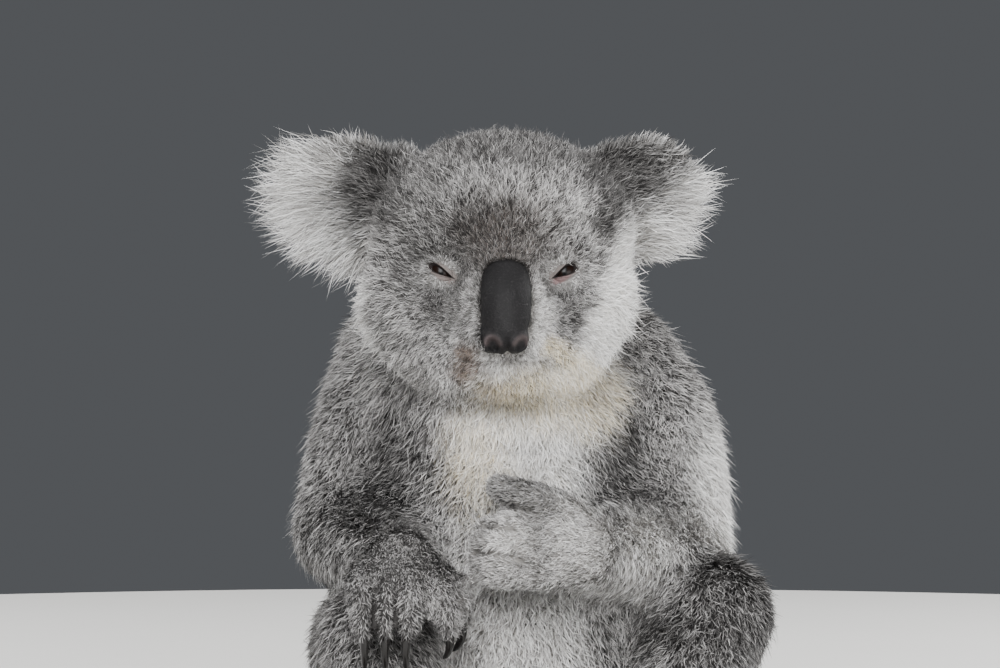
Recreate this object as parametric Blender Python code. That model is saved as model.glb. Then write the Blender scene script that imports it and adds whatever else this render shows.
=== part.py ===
"""Koala: a still, life-size model of a seated northern koala with its head bowed.

The animal faces -Y and sits on the floor plane z = 0, with the origin under the middle of its seat. Each named
part of the body is one solid whose surface is the outer reach of the coat. The body is laid up from overlapping
ellipsoids, as a sculptor builds up clay, melted into smooth masses by a voxel remesh, and parted at the joints by
hairline cuts. Left and right are the animal's own: its left side is at +X. Places are in millimetres.
"""

import math

import bmesh
import bpy
from mathutils import Euler, Matrix, Vector

MM = 0.001
HAIRLINE = 0.45  # clearance between two solids that meet
STEEPEST_CORNER = 2.0  # how many times the clearance a sharp corner of a cutter may move
FLOOR_DIP = 3.0  # how far the seat and soles are pressed below the floor before they are cut flat

# The skeleton's driving places. Both sides are listed because the pose is not symmetrical.
HEAD_MIDDLE = (0, -30, 303)
SHOULDER = {"l": (62, 30, 232), "r": (-58, 30, 232)}
MID_UPPER_ARM = {"l": (86, 16, 192), "r": (-72, 14, 190)}
ELBOW = {"l": (97, -8, 130), "r": (-86, -2, 141)}
WRIST = {"l": (44, -102, 138), "r": (-56, -90, 130)}
HIP = {"l": (58, 46, 64), "r": (-53, 46, 64)}
KNEE = {"l": (112, -45, 99), "r": (-66, -64, 86)}
ANKLE = {"l": (92, -88, 27), "r": (-64, -98, 27)}
FOOT_TURN = {"l": 14, "r": -8}  # degrees that each foot points outwards, towards +X

EYE_AT = (33, -82, 285)
EYE_RADIUS = 8.5
EYE_SLANT = 30  # degrees that the eye slit climbs outwards

CLAW_RINGS = 5
CLAW_SIDES = 6
HAND_CLAW_SWEEP = 70  # degrees that a claw turns through from root to point
FOOT_CLAW_SWEEP = 40

COAT_GREY = (0.36, 0.36, 0.37)
COAT_PALE = (0.62, 0.60, 0.57)
COAT_DARK = (0.26, 0.26, 0.27)
LEATHER_BLACK = (0.035, 0.035, 0.038)
CLAW_BLACK = (0.02, 0.018, 0.017)
EYE_BROWN = (0.05, 0.025, 0.015)


def clear_scene():
    """Removes whatever the file holds, so that only this model is left."""
    for obj in list(bpy.data.objects):
        bpy.data.objects.remove(obj, do_unlink=True)


def finish(name, colour, roughness):
    """A Principled material of one plain colour."""
    material = bpy.data.materials.new(name)
    material.use_nodes = True
    shader = material.node_tree.nodes["Principled BSDF"]
    shader.inputs["Base Color"].default_value = (*colour, 1.0)
    shader.inputs["Roughness"].default_value = roughness
    shader.inputs["Metallic"].default_value = 0.0
    return material


# -------------------------------------------------------------------------------------------- clay

def mirrored(point, side):
    """The point on the asked side: "l" keeps it at +X, and "r" takes it to -X."""
    return (point[0] if side == "l" else -point[0], point[1], point[2])


def between(a, b, share):
    """The point that lies share of the way from a to b."""
    return tuple(p + (q - p) * share for p, q in zip(a, b))


def smooth_rows(rows, steps):
    """More rows of numbers, along Catmull-Rom curves through the rows given."""
    rows = [[2 * p - q for p, q in zip(rows[0], rows[1])], *rows, [2 * p - q for p, q in zip(rows[-1], rows[-2])]]
    found = []
    for four in zip(rows, rows[1:], rows[2:], rows[3:]):
        for step in range(steps):
            t = step / steps
            found.append([curve_through(*numbers, t) for numbers in zip(*four)])
    found.append(rows[-2])
    return found


def curve_through(a, b, c, d, t):
    """The value at share t of the way from b to c, on the Catmull-Rom curve through all four."""
    return b + ((c - a) * t + (2 * a - 5 * b + 4 * c - d) * t**2 + (3 * b - a - 3 * c + d) * t**3) / 2


def unit_ball():
    """The corners and faces of a ball of radius 1."""
    shape = bmesh.new()
    bmesh.ops.create_uvsphere(shape, u_segments=20, v_segments=12, radius=1.0)
    corners = [vert.co.copy() for vert in shape.verts]
    faces = [[vert.index for vert in face.verts] for face in shape.faces]
    shape.free()
    return corners, faces


class Clay:
    """Overlapping lumps that become one solid."""

    def __init__(self):
        self.corners = []
        self.faces = []
        self.unit = unit_ball()

    def lump(self, corners, faces):
        """Adds any closed shape, with its corners in millimetres."""
        first = len(self.corners)
        self.corners.extend(tuple(Vector(corner) * MM) for corner in corners)
        self.faces.extend([first + index for index in face] for face in faces)
        return self

    def ball(self, at, radii, turn=(0, 0, 0)):
        """Adds an ellipsoid. Turn is in degrees."""
        spin = Euler([math.radians(angle) for angle in turn]).to_matrix().to_4x4()
        matrix = Matrix.Translation(at) @ spin @ Matrix.Diagonal((*radii, 1.0))
        return self.lump([matrix @ corner for corner in self.unit[0]], self.unit[1])

    def loft(self, rings):
        """Adds a closed shape that runs through rings of corners, one inside each end."""
        sides = len(rings[0])
        faces = [list(range(sides))[::-1]]
        for low in range(0, sides * (len(rings) - 1), sides):
            for side in range(sides):
                after = (side + 1) % sides
                faces.append([low + side, low + after, low + sides + after, low + sides + side])
        faces.append(list(range(sides * (len(rings) - 1), sides * len(rings))))
        return self.lump([corner for ring in rings for corner in ring], faces)

    def pair(self, at, radii, turn=(0, 0, 0)):
        """Adds the same ellipsoid on both sides of the body."""
        self.ball(at, radii, turn)
        return self.ball(mirrored(at, "r"), radii, (turn[0], -turn[1], -turn[2]))

    def limb(self, points, radii, steps=5):
        """Adds balls strung along a smooth path, which melt into a tapered limb."""
        for x, y, z, radius in smooth_rows([(*p, r) for p, r in zip(points, radii)], steps):
            self.ball((x, y, z), (radius, radius, radius))
        return self

    def shape(self):
        """The lumps as one bmesh, still overlapping."""
        mesh = bpy.data.meshes.new("lumps")
        mesh.from_pydata(self.corners, [], self.faces)
        shape = bmesh.new()
        shape.from_mesh(mesh)
        bpy.data.meshes.remove(mesh)
        return shape

    def solid(self, name, material, voxel, rounding, triangles):
        """Melts the lumps into one closed mesh object of about that many triangles."""
        obj = new_object(name, self.shape(), material)
        remesh = obj.modifiers.new("melt", "REMESH")
        remesh.mode = "VOXEL"
        remesh.voxel_size = voxel * MM
        if rounding:
            smooth = obj.modifiers.new("round", "SMOOTH")
            smooth.iterations = rounding
        settle(obj)
        obj.data.calc_loop_triangles()
        thin = obj.modifiers.new("thin", "DECIMATE")
        thin.ratio = min(1.0, triangles / len(obj.data.loop_triangles))
        settle(obj)
        return obj


def new_object(name, shape, material):
    """An object of that name in the scene, holding the bmesh, which is used up."""
    mesh = bpy.data.meshes.new(name)
    shape.to_mesh(mesh)
    shape.free()
    mesh.materials.append(material)
    obj = bpy.data.objects.new(name, mesh)
    bpy.context.scene.collection.objects.link(obj)
    return obj


def settle(obj):
    """Keeps what the modifiers make as the object's own mesh."""
    graph = bpy.context.evaluated_depsgraph_get()
    made = bpy.data.meshes.new_from_object(obj.evaluated_get(graph), depsgraph=graph)
    obj.modifiers.clear()
    obj.data = made
    made.name = obj.name


# ------------------------------------------------------------------------------------------- cutting

def joined_copy(objects, swell):
    """One hidden cutter made of all the objects, each reaching swell millimetres further out."""
    shape = bmesh.new()
    for obj in objects:
        shape.from_mesh(obj.data)
    shape.normal_update()
    steps = [vert.normal * (swell * MM * min(vert.calc_shell_factor(), STEEPEST_CORNER)) for vert in shape.verts]
    for vert, step in zip(shape.verts, steps):
        vert.co += step
    cutter = new_object("cutter", shape, None)
    cutter.hide_render = True
    cutter.display_type = "WIRE"
    return cutter


def trim(obj, neighbours, swell=HAIRLINE):
    """Cuts the object back, so that it meets its neighbours across a hairline."""
    for group in neighbours:
        cutter = joined_copy(group if isinstance(group, list) else [group], swell)
        cut = obj.modifiers.new("trim", "BOOLEAN")
        cut.operation = "DIFFERENCE"
        cut.object = cutter
        settle(obj)
        bpy.data.objects.remove(cutter, do_unlink=True)
    keep_largest(obj)


def keep_largest(obj):
    """Drops the crumbs that a cut leaves beside the main body."""
    shape = bmesh.new()
    shape.from_mesh(obj.data)
    unseen = set(shape.verts)
    islands = []
    while unseen:
        island = {unseen.pop()}
        front = list(island)
        while front:
            front = list({edge.other_vert(v) for v in front for edge in v.link_edges} - island)
            island.update(front)
        unseen -= island
        islands.append(island)
    islands.sort(key=len)
    for crumb in islands[:-1]:
        bmesh.ops.delete(shape, geom=list(crumb), context="VERTS")
    shape.to_mesh(obj.data)
    shape.free()


def slice_off(obj, at, normal):
    """Cuts away what lies beyond the plane, on the side that its normal points to, and closes the cut."""
    shape = bmesh.new()
    shape.from_mesh(obj.data)
    everything = [*shape.verts, *shape.edges, *shape.faces]
    cut = bmesh.ops.bisect_plane(
        shape, geom=everything, dist=1e-7, plane_co=Vector(at) * MM, plane_no=normal, clear_outer=True
    )
    rim = [item for item in cut["geom_cut"] if isinstance(item, bmesh.types.BMEdge)]
    bmesh.ops.edgeloop_fill(shape, edges=rim)
    bmesh.ops.triangulate(shape, faces=shape.faces)
    bmesh.ops.recalc_face_normals(shape, faces=shape.faces)
    shape.to_mesh(obj.data)
    shape.free()


def part_off(obj, name, at, normal, material=None):
    """Parts the object in two at a plane. The piece that the normal points to becomes a new object."""
    normal = Vector(normal).normalized()
    piece = obj.copy()
    piece.data = obj.data.copy()
    piece.name = name
    bpy.context.scene.collection.objects.link(piece)
    slice_off(obj, Vector(at) - normal * HAIRLINE / 2, normal)
    slice_off(piece, Vector(at) + normal * HAIRLINE / 2, -normal)
    for half in (obj, piece):
        keep_largest(half)
    if material:
        piece.data.materials[0] = material
    return piece


def rest_on_floor(obj):
    """Cuts away what lies below the floor, which leaves a small flat to rest on."""
    slice_off(obj, (0, 0, 0), (0, 0, -1))


# ---------------------------------------------------------------------------------------------- head

def build_nose(leather):
    """Bare oblong pad that runs down from between the eyes and rolls under at the nostrils."""
    clay = Clay()
    clay.limb([(1.5, -104, 284), (1.5, -113, 270), (1.5, -116, 255)], [9.5, 12.5, 13], steps=5)
    clay.pair((8, -116, 251), (8, 11, 8))
    return clay.solid("nose", leather, voxel=1.6, rounding=3, triangles=190)


def build_eye(side, wet):
    """Dark eyeball, most of it behind the lids."""
    clay = Clay()
    clay.ball(mirrored(EYE_AT, side), (EYE_RADIUS,) * 3)
    return clay.solid(f"eye_{side}", wet, voxel=1.6, rounding=0, triangles=70)


def lid_slits():
    """Cutters that open the heavy lids to a narrow almond, higher at its outer corner."""
    clay = Clay()
    clay.pair((EYE_AT[0], EYE_AT[1] - 10, EYE_AT[2]), (9.3, 9, 3.0), (0, -EYE_SLANT, 0))
    return clay.solid("slits", None, voxel=0.8, rounding=0, triangles=130)


def build_head(coat, nose, eyes):
    """Broad round cranium, full cheeks that narrow to the chin, and a short deep muzzle."""
    clay = Clay()
    clay.ball(HEAD_MIDDLE, (70, 64, 57))
    clay.ball((0, 6, 290), (60, 46, 50))  # back of the head
    clay.ball((0, -60, 304), (56, 36, 40), (20, 0, 0))  # forehead
    clay.pair((38, -48, 306), (32, 36, 34))  # temples, under the ears
    clay.pair((42, -54, 268), (33, 42, 33))  # cheeks
    clay.pair((27, -66, 248), (33, 36, 27), (0, 22, 0))  # jowls
    clay.pair((13, -94, 249), (18, 20, 15))  # lips
    clay.ball((0, -84, 264), (32, 31, 28))  # muzzle
    clay.ball((0, -76, 236), (31, 28, 19))  # chin
    clay.ball((1, -90, 284), (19, 20, 20))  # bridge of the nose
    clay.pair((33, -76, 296), (18, 17, 10), (0, -18, 0))  # brows
    clay.pair(EYE_AT, (15, 14, 12), (0, -EYE_SLANT, 0))  # lids
    head = clay.solid("head", coat, voxel=2.6, rounding=12, triangles=880)
    slits = lid_slits()
    trim(head, [slits], swell=0)
    trim(head, [[nose, *eyes]])
    bpy.data.objects.remove(slits, do_unlink=True)
    return head


# The reach of each ear's fringe as seen from in front, from where its top edge leaves the head.
EAR_OUTLINE = {
    "l": (
        (44, 355), (59, 361), (75, 365), (91, 365), (107, 361), (119, 353), (124, 342), (121, 329),
        (113, 317), (107, 304), (102, 291), (95, 281), (82, 276), (68, 276), (54, 292), (46, 322),
    ),
    "r": (
        (-54, 350), (-70, 361), (-87, 365), (-104, 365), (-121, 359), (-132, 348), (-138, 332), (-138, 316),
        (-133, 300), (-123, 287), (-109, 280), (-93, 276), (-76, 276), (-62, 284), (-52, 300), (-48, 324),
    ),
}  # fmt: skip
EAR_ROOT_Y = -36
EAR_SWEEP = 0.30  # how far the ear leans back for each millimetre outwards
EAR_THICK = 22
EAR_DISH = 15
EAR_RINGS = (0.06, 0.3, 0.55, 0.75, 0.9, 0.98)


def ear_ring(outline, share, face):
    """The ear's outline shrunk to that share, on its front (face -1) or its back (face +1)."""
    middle_x = sum(x for x, _ in outline) / len(outline)
    middle_z = sum(z for _, z in outline) / len(outline)
    depth = EAR_DISH * (1 - share**2) + face * EAR_THICK / 2 * math.sqrt(1 - share**2)
    ring = []
    for x, z in outline:
        x = middle_x + (x - middle_x) * share
        ring.append((x, EAR_ROOT_Y + EAR_SWEEP * (abs(x) - 50) + depth, middle_z + (z - middle_z) * share))
    return ring


def build_ear(side, coat, head):
    """Round shaggy ear, dished in front, with the fringe of long hair counted in its outline."""
    outline = EAR_OUTLINE[side]
    rings = [ear_ring(outline, share, -1) for share in EAR_RINGS]
    rings += [ear_ring(outline, share, 1) for share in reversed(EAR_RINGS)]
    clay = Clay()
    clay.loft(rings)
    clay.ball(mirrored((60, -17, 320), side), (25, 20, 34))
    ear = clay.solid(f"ear_{side}", coat, voxel=2.5, rounding=4, triangles=280)
    trim(ear, [head])
    return ear


# --------------------------------------------------------------------------------------------- torso

# The torso's outline by height: its middle line, its front, the depth where it is widest, its back, and half its
# width there.
TORSO = (
    (-4, 2, -26, 34, 84, 56),
    (6, 2, -54, 32, 98, 73),
    (22, 2, -72, 30, 109, 84),
    (50, 2, -84, 28, 117, 90),
    (85, 2, -86, 26, 121, 92),
    (120, 2, -84, 26, 122, 92),
    (155, 2, -78, 28, 120, 91),
    (185, 2, -71, 30, 116, 89),
    (210, 0, -64, 32, 110, 86),
    (232, -3, -56, 34, 102, 82),
    (252, -5, -40, 36, 93, 77),
    (270, -5, -24, 36, 83, 70),
    (288, -3, -12, 34, 71, 59),
    (303, -1, 0, 30, 57, 44),
    (313, 0, 12, 28, 43, 24),
)
TORSO_SIDES = 36


def build_torso(coat, head):
    """Rounded barrel of a body, slumped on a wide rump, that runs up into a short thick neck."""
    rings = []
    for height, middle, front, widest, back, half_width in smooth_rows(TORSO, 3):
        ring = []
        for side in range(TORSO_SIDES):
            angle = math.tau * side / TORSO_SIDES
            reach = back - widest if math.sin(angle) > 0 else widest - front
            ring.append((middle + half_width * math.cos(angle), widest + reach * math.sin(angle), height))
        rings.append(ring)
    clay = Clay()
    clay.loft(rings)
    trunk = clay.solid("trunk", coat, voxel=5.0, rounding=4, triangles=800)
    rest_on_floor(trunk)
    trim(trunk, [head])
    neck = part_off(trunk, "neck", at=(0, 30, 236), normal=(0, -0.45, 1))
    return trunk, neck


# ---------------------------------------------------------------------------------------------- paws

class Paw:
    """A hand or foot, laid out in its own frame: forward along the digits, inward to the thumb's side, and back
    off the back of the paw. Digits are chains of bones that bend towards the palm, and each may end in a claw."""

    def __init__(self, clay, name, at, forward, back, thumb, sweep=HAND_CLAW_SWEEP):
        self.clay = clay
        self.name = name
        self.sweep = sweep
        self.at = Vector(at)
        self.forward = Vector(forward).normalized()
        self.inward = (Vector(thumb) - self.forward * self.forward.dot(Vector(thumb))).normalized()
        self.back = self.forward.cross(self.inward)
        if self.back.dot(Vector(back)) < 0:
            self.back.negate()
        self.claws = []

    def place(self, forward, inward, back):
        """A point of the paw's own frame, in the body's frame."""
        return self.at + self.forward * forward + self.inward * inward + self.back * back

    def pad(self, place, radii):
        """Adds a lump of the palm or sole, with its radii along forward, inward and back."""
        axes = Matrix((self.forward, self.inward, self.back)).transposed()
        if axes.determinant() < 0:
            axes = Matrix((self.forward, -self.inward, self.back)).transposed()
        self.clay.ball(self.place(*place), radii, [math.degrees(angle) for angle in axes.to_euler()])

    def digit(self, root, spread, bends, lengths, radii, claw=0.0):
        """Adds a digit from its knuckle. Spread turns it towards the thumb, and bends curl it to the palm."""
        turn = Matrix.Rotation(math.radians(spread), 3, self.forward.cross(self.inward))
        heading = turn @ self.forward
        hinge = heading.cross(self.back)
        if hinge.cross(heading).dot(self.back) > 0:
            hinge.negate()
        points = [self.place(*root)]
        for bend, length in zip(bends, lengths):
            heading = Matrix.Rotation(math.radians(bend), 3, hinge) @ heading
            points.append(points[-1] + heading * length)
        self.clay.limb([tuple(p) for p in points], radii, steps=4)
        if claw:
            self.claws.append((points[-1], heading, hinge, claw, radii[-1]))

    def claw_solids(self, horn):
        """One curved, pointed claw for each digit that has one."""
        made = []
        for number, claw in enumerate(self.claws, 1):
            made.append(build_claw(f"{self.name}_claw_{number}", horn, self.sweep, *claw))
        return made


def build_claw(name, horn, turn, tip, heading, hinge, length, girth):
    """Curved horn, deeper than it is wide, that grows out of the end of a digit and sweeps to a point."""
    shape = bmesh.new()
    depth = 0.42 * girth
    width = 0.30 * girth
    centre = tip + heading * (girth * 0.3)
    direction = heading.copy()
    sweep = Matrix.Rotation(math.radians(turn / (CLAW_RINGS - 1)), 3, hinge)
    rings = []
    for ring in range(CLAW_RINGS):
        taper = (1 - ring / (CLAW_RINGS - 1)) ** 0.75 + 0.12
        up = hinge.cross(direction).normalized()
        corners = []
        for side in range(CLAW_SIDES):
            angle = math.tau * side / CLAW_SIDES
            offset = hinge * (math.cos(angle) * width * taper) + up * (math.sin(angle) * depth * taper)
            corners.append(shape.verts.new((centre + offset) * MM))
        rings.append(corners)
        direction = sweep @ direction
        centre = centre + direction * (length / (CLAW_RINGS - 1))
    for low, high in zip(rings, rings[1:]):
        for side in range(CLAW_SIDES):
            after = (side + 1) % CLAW_SIDES
            shape.faces.new((low[side], low[after], high[after], high[side]))
    shape.faces.new(rings[0][::-1])
    shape.faces.new(rings[-1])
    bmesh.ops.triangulate(shape, faces=shape.faces)
    bmesh.ops.recalc_face_normals(shape, faces=shape.faces)
    return new_object(name, shape, horn)


def gripping_hand(clay):
    """Left hand, held in front of the belly as round a stem: three fingers below and two thumbs above."""
    paw = Paw(clay, "hand_l", WRIST["l"], forward=(-1.0, -0.30, 0.0), back=(-0.2, -1.0, 0.1), thumb=(0, 0, 1))
    paw.pad((14, 0, 0), (20, 21, 14))
    for row in (-1, 0, 1):
        paw.digit(
            root=(20, row * 12.5 - 1, 2),
            spread=-row * 3,
            bends=(8, 64, 80),
            lengths=(29 - 3 * abs(row), 15, 12),
            radii=(9.5, 9.5, 8.5, 7.0),
            claw=17,
        )
    for row in (0, 1):
        paw.digit(
            root=(8 + 4 * row, 20 + 3 * row, 1 - 8 * row),
            spread=18,
            bends=(-4, 40, 50),
            lengths=(21, 14, 10),
            radii=(10, 9.5, 8.5, 7.0),
            claw=15,
        )
    return paw


def resting_hand(clay):
    """Right hand, laid over the knee with its fingers and claws hanging down in front."""
    paw = Paw(clay, "hand_r", WRIST["r"], forward=(-0.05, -0.95, -0.28), back=(0, -0.3, 0.95), thumb=(1, 0, 0))
    paw.pad((12, 0, 0), (20, 21, 13))
    for row in (-1, 0, 1):
        paw.digit(
            root=(20, -4 + row * 14, 0),
            spread=-row * 6,
            bends=(18, 26, 16),
            lengths=(14, 12, 10),
            radii=(11, 10, 9, 7.5),
            claw=26,
        )
    for row in (0, 1):
        paw.digit(
            root=(6 + 8 * row, 18, -2),
            spread=44 - 16 * row,
            bends=(18, 30, 26),
            lengths=(15, 12, 9),
            radii=(10.5, 10, 9, 7.0),
            claw=20,
        )
    return paw


def standing_foot(clay, side):
    """Long flat hind foot with a clawless great toe that stands off inwards."""
    turn = math.radians(FOOT_TURN[side])
    forward = (math.sin(turn), -math.cos(turn), 0)
    sole = (ANKLE[side][0], ANKLE[side][1], 15)
    inwards = mirrored((-1, 0, 0), side)
    paw = Paw(clay, f"foot_{side}", sole, forward, back=(0, 0, 1), thumb=inwards, sweep=FOOT_CLAW_SWEEP)
    paw.pad((-6, 0, 3), (27, 23, 17 + FLOOR_DIP))
    paw.pad((20, 0, 1), (32, 25, 14 + FLOOR_DIP))
    paw.digit(root=(14, 12, -1), spread=50, bends=(0, 6, 8), lengths=(15, 10, 8), radii=(14, 13, 12, 10))
    for row in range(4):
        outer = row > 1
        paw.digit(
            root=(36 - 2 * row, 13 - row * 11, 0),
            spread=9 - 7 * row,
            bends=(0, 4, 6),
            lengths=(12, 9 + 3 * outer, 7),
            radii=(13, 11 + outer, 10, 8.5),
            claw=14 + 5 * outer,
        )
    return paw


# --------------------------------------------------------------------------------------------- limbs

def bisector(corner, before, after):
    """The direction that parts two bones at their joint, pointing to the far bone."""
    inbound = (Vector(corner) - Vector(before)).normalized()
    outbound = (Vector(after) - Vector(corner)).normalized()
    return inbound + outbound


def build_arm(side, hand_of, body, coat, dark, horn):
    """Heavy furred arm, bent at the elbow, with its hand and claws."""
    clay = Clay()
    elbow, wrist = ELBOW[side], WRIST[side]
    clay.limb([SHOULDER[side], MID_UPPER_ARM[side], elbow], [37, 37, 32])
    clay.limb([elbow, between(elbow, wrist, 0.5), wrist], [32, 29, 22])
    paw = hand_of(clay)
    arm = clay.solid(f"upper_arm_{side}", coat, voxel=2.4, rounding=5, triangles=840)
    claws = paw.claw_solids(horn)
    trim(arm, [*body, claws])
    forearm = part_off(arm, f"forearm_{side}", elbow, bisector(elbow, SHOULDER[side], wrist))
    part_off(forearm, f"hand_{side}", wrist, Vector(wrist) - Vector(elbow), dark)
    return arm


def build_leg(side, body, coat, dark, horn):
    """Short strong leg, folded beside the belly, with the sole flat on the floor."""
    clay = Clay()
    hip, knee, ankle = HIP[side], KNEE[side], ANKLE[side]
    clay.limb([hip, between(hip, knee, 0.5), knee], [54, 49, 37])
    clay.limb([knee, between(knee, ankle, 0.5), ankle], [36, 33, 26])
    paw = standing_foot(clay, side)
    leg = clay.solid(f"thigh_{side}", coat, voxel=2.6, rounding=5, triangles=720)
    rest_on_floor(leg)
    claws = paw.claw_solids(horn)
    trim(leg, [*body, claws])
    shin = part_off(leg, f"shin_{side}", knee, bisector(knee, hip, ankle))
    above_sole = (ankle[0], ankle[1], ankle[2] + 6)
    foot = part_off(shin, f"foot_{side}", above_sole, Vector(ankle) - Vector(knee), dark)
    return [leg, shin, foot]


def main():
    """Builds every solid, from the head down, and trims each against what it meets."""
    clear_scene()
    coat = finish("grey_coat", COAT_GREY, 0.95)
    pale = finish("pale_coat", COAT_PALE, 0.95)
    dark = finish("dark_coat", COAT_DARK, 0.95)
    leather = finish("nose_leather", LEATHER_BLACK, 0.45)
    horn = finish("claw_horn", CLAW_BLACK, 0.35)
    wet = finish("eye_surface", EYE_BROWN, 0.08)

    nose = build_nose(leather)
    eyes = [build_eye(side, wet) for side in "lr"]
    head = build_head(coat, nose, eyes)
    for side in "lr":
        build_ear(side, pale, head)
    trunk, neck = build_torso(coat, head)
    for side, hand_of in (("l", gripping_hand), ("r", resting_hand)):
        leg = build_leg(side, [trunk], coat, dark, horn)
        build_arm(side, hand_of, [trunk, neck, head, *leg], coat, dark, horn)


main()
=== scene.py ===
"""Dresses the seated koala: a skin with lids and folds, a coat of mesh tufts, nose, eyes, claws and a studio.

Places are in millimetres until they reach a mesh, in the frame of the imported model. The animal faces -Y, and
its own left is at +X.
"""

import logging
import math
from dataclasses import dataclass
from enum import Enum
from typing import Any

import bmesh
import bpy
import numpy as np
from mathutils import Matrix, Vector
from mathutils.kdtree import KDTree


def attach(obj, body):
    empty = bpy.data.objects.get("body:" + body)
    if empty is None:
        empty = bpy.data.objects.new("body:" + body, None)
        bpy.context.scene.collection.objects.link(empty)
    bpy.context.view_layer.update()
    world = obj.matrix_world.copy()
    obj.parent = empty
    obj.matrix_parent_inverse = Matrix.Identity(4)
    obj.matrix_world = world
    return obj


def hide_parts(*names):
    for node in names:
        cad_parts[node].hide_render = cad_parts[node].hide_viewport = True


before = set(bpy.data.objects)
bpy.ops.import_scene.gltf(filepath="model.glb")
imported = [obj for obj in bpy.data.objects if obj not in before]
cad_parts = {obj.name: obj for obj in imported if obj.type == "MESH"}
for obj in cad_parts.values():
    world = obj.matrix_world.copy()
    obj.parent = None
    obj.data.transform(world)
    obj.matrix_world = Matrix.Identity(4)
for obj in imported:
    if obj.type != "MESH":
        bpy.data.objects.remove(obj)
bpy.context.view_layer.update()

LOG = logging.getLogger("koala")
Array = np.ndarray
MM = 0.001
BODY = "root"
SIDES = {"l": 1.0, "r": -1.0}
FLOOR_CLEARANCE = 0.3  # the coat's lowest point above the floor

# The skeleton's places, the same as the solids'.
SHOULDER = {"l": (62, 30, 232), "r": (-58, 30, 232)}
ELBOW = {"l": (97, -8, 130), "r": (-86, -2, 141)}
WRIST = {"l": (44, -102, 138), "r": (-56, -90, 130)}
HIP = {"l": (58, 46, 64), "r": (-53, 46, 64)}
KNEE = {"l": (112, -45, 99), "r": (-66, -64, 86)}
ANKLE = {"l": (92, -88, 27), "r": (-64, -98, 27)}
FOOT_TURN = {"l": 14, "r": -8}
EYE_AT = (33, -82, 285)
EYE_RADIUS = 8.5
EYE_SLANT = 30
NOSE_MIDDLE = (1.5, -118, 266)
EAR_FAN = {"l": (24, -24, 306), "r": (-56, -24, 318)}  # where the locks of each ear spread from
EAR_ROOT = (56, -24, 316)
# The folds between the curled fingers of the left hand, as (x, z) seen from in front.
FIST_FOLDS = [
    [(-6, 160.5), (4, 162), (16, 160)],
    [(-19, 152), (-8, 150.5), (8, 149.5)],
    [(-14, 137), (-4, 137.5), (7, 135), (13, 131.5)],
]
# The line between the lips, as (x, z).
MOUTH = [(-20, 240.5), (-11, 238.8), (2, 241.5), (14, 238.8), (23, 240.5)]
FACE_DEPTH = -88  # the face's front lies ahead of this place along Y


class Slot(Enum):
    """The record's material slots."""

    GREY_COAT = "grey_coat"
    PALE_COAT = "pale_coat"
    DARK_COAT = "dark_coat"
    LEATHER = "nose_leather"
    HORN = "claw_horn"
    EYE = "eye_surface"


class Mark(Enum):
    """The coat's markings, painted shade and light among them, each a share from 0 to 1 that is kept on skin
    and tufts under this name.
    """

    WHITE = "white"
    DARK = "dark"
    CREAM = "cream"
    BROWN = "brown"


# ------------------------------------------------------------------------------------------- numbers


def ramp(value: Array, low: float, high: float) -> Array:
    """Turns values smoothly from 0 at low to 1 at high, or the other way round where high is the lower."""
    share = np.clip((value - low) / (high - low), 0.0, 1.0)
    return share * share * (3 - 2 * share)


def blob(points: Array, centre: tuple[float, ...], radii: tuple[float, ...], soft: float = 0.4) -> Array:
    """Gives a soft-edged ellipsoid.

    Args:
        points: rows of places.
        centre: the ellipsoid's middle.
        radii: its reach along each axis.
        soft: how much of the reach its edge takes, to each side.

    Returns:
        1 at the middle, 0 well outside.
    """
    reach = np.sqrt((((points - np.array(centre)) / np.array(radii)) ** 2).sum(axis=1))
    return ramp(reach, 1 + soft, 1 - soft)


def band(points: Array, path: list[tuple[float, float]], width: float) -> Array:
    """Gives a soft band along a line that is seen from in front.

    Args:
        points: rows of places.
        path: the line's corners as (x, z).
        width: the distance from the line at which the band has faded out.

    Returns:
        1 on the line, 0 beyond the width.
    """
    flat = points[:, [0, 2]]
    best = np.full(len(points), 1e9)
    for a, b in zip(np.array(path[:-1], float), np.array(path[1:], float)):
        along = np.clip(((flat - a) @ (b - a)) / ((b - a) @ (b - a)), 0, 1)
        best = np.minimum(best, np.linalg.norm(flat - a - along[:, None] * (b - a), axis=1))
    return ramp(best, width, width * 0.35)


def unit(rows: Array) -> Array:
    """Scales each row to length 1, and leaves rows of no length alone."""
    return rows / np.maximum(np.linalg.norm(rows, axis=1, keepdims=True), 1e-9)


def wobble(points: Array, size: float, seed: int) -> Array:
    """Gives smooth noise.

    Args:
        points: rows of places.
        size: about how long its waves are.
        seed: which noise it is.

    Returns:
        A value for each point, mostly from -1 to 1.
    """
    source = np.random.default_rng(seed)
    total = np.zeros(len(points))
    for _ in range(5):
        heading = unit(source.normal(size=(1, 3)))[0] * math.tau / (size * source.uniform(0.7, 1.4))
        total += np.sin(points @ heading + source.uniform(0, math.tau))
    return total / 2.4


# -------------------------------------------------------------------------------------------- meshes


def read(items: Any, name: str, width: int) -> Array:
    """Reads one property of a mesh's vertices, edges, triangles or corners.

    Args:
        items: the mesh's collection of them.
        name: the property.
        width: how many numbers it has for each.

    Returns:
        A row for each, of whole numbers where it lists vertices or corners.
    """
    kind = np.int32 if name in ("vertices", "loops") else np.float32
    flat = np.empty(len(items) * width, kind)
    items.foreach_get(name, flat)
    return flat.reshape(-1, width) if kind is np.int32 else flat.reshape(-1, width).astype(float)


def add_object(name: str, mesh: bpy.types.Mesh) -> bpy.types.Object:
    """Puts a mesh in the scene.

    Args:
        name: the object's name.
        mesh: its mesh.

    Returns:
        The object.
    """
    obj = bpy.data.objects.new(name, mesh)
    bpy.context.scene.collection.objects.link(obj)
    return obj


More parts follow.
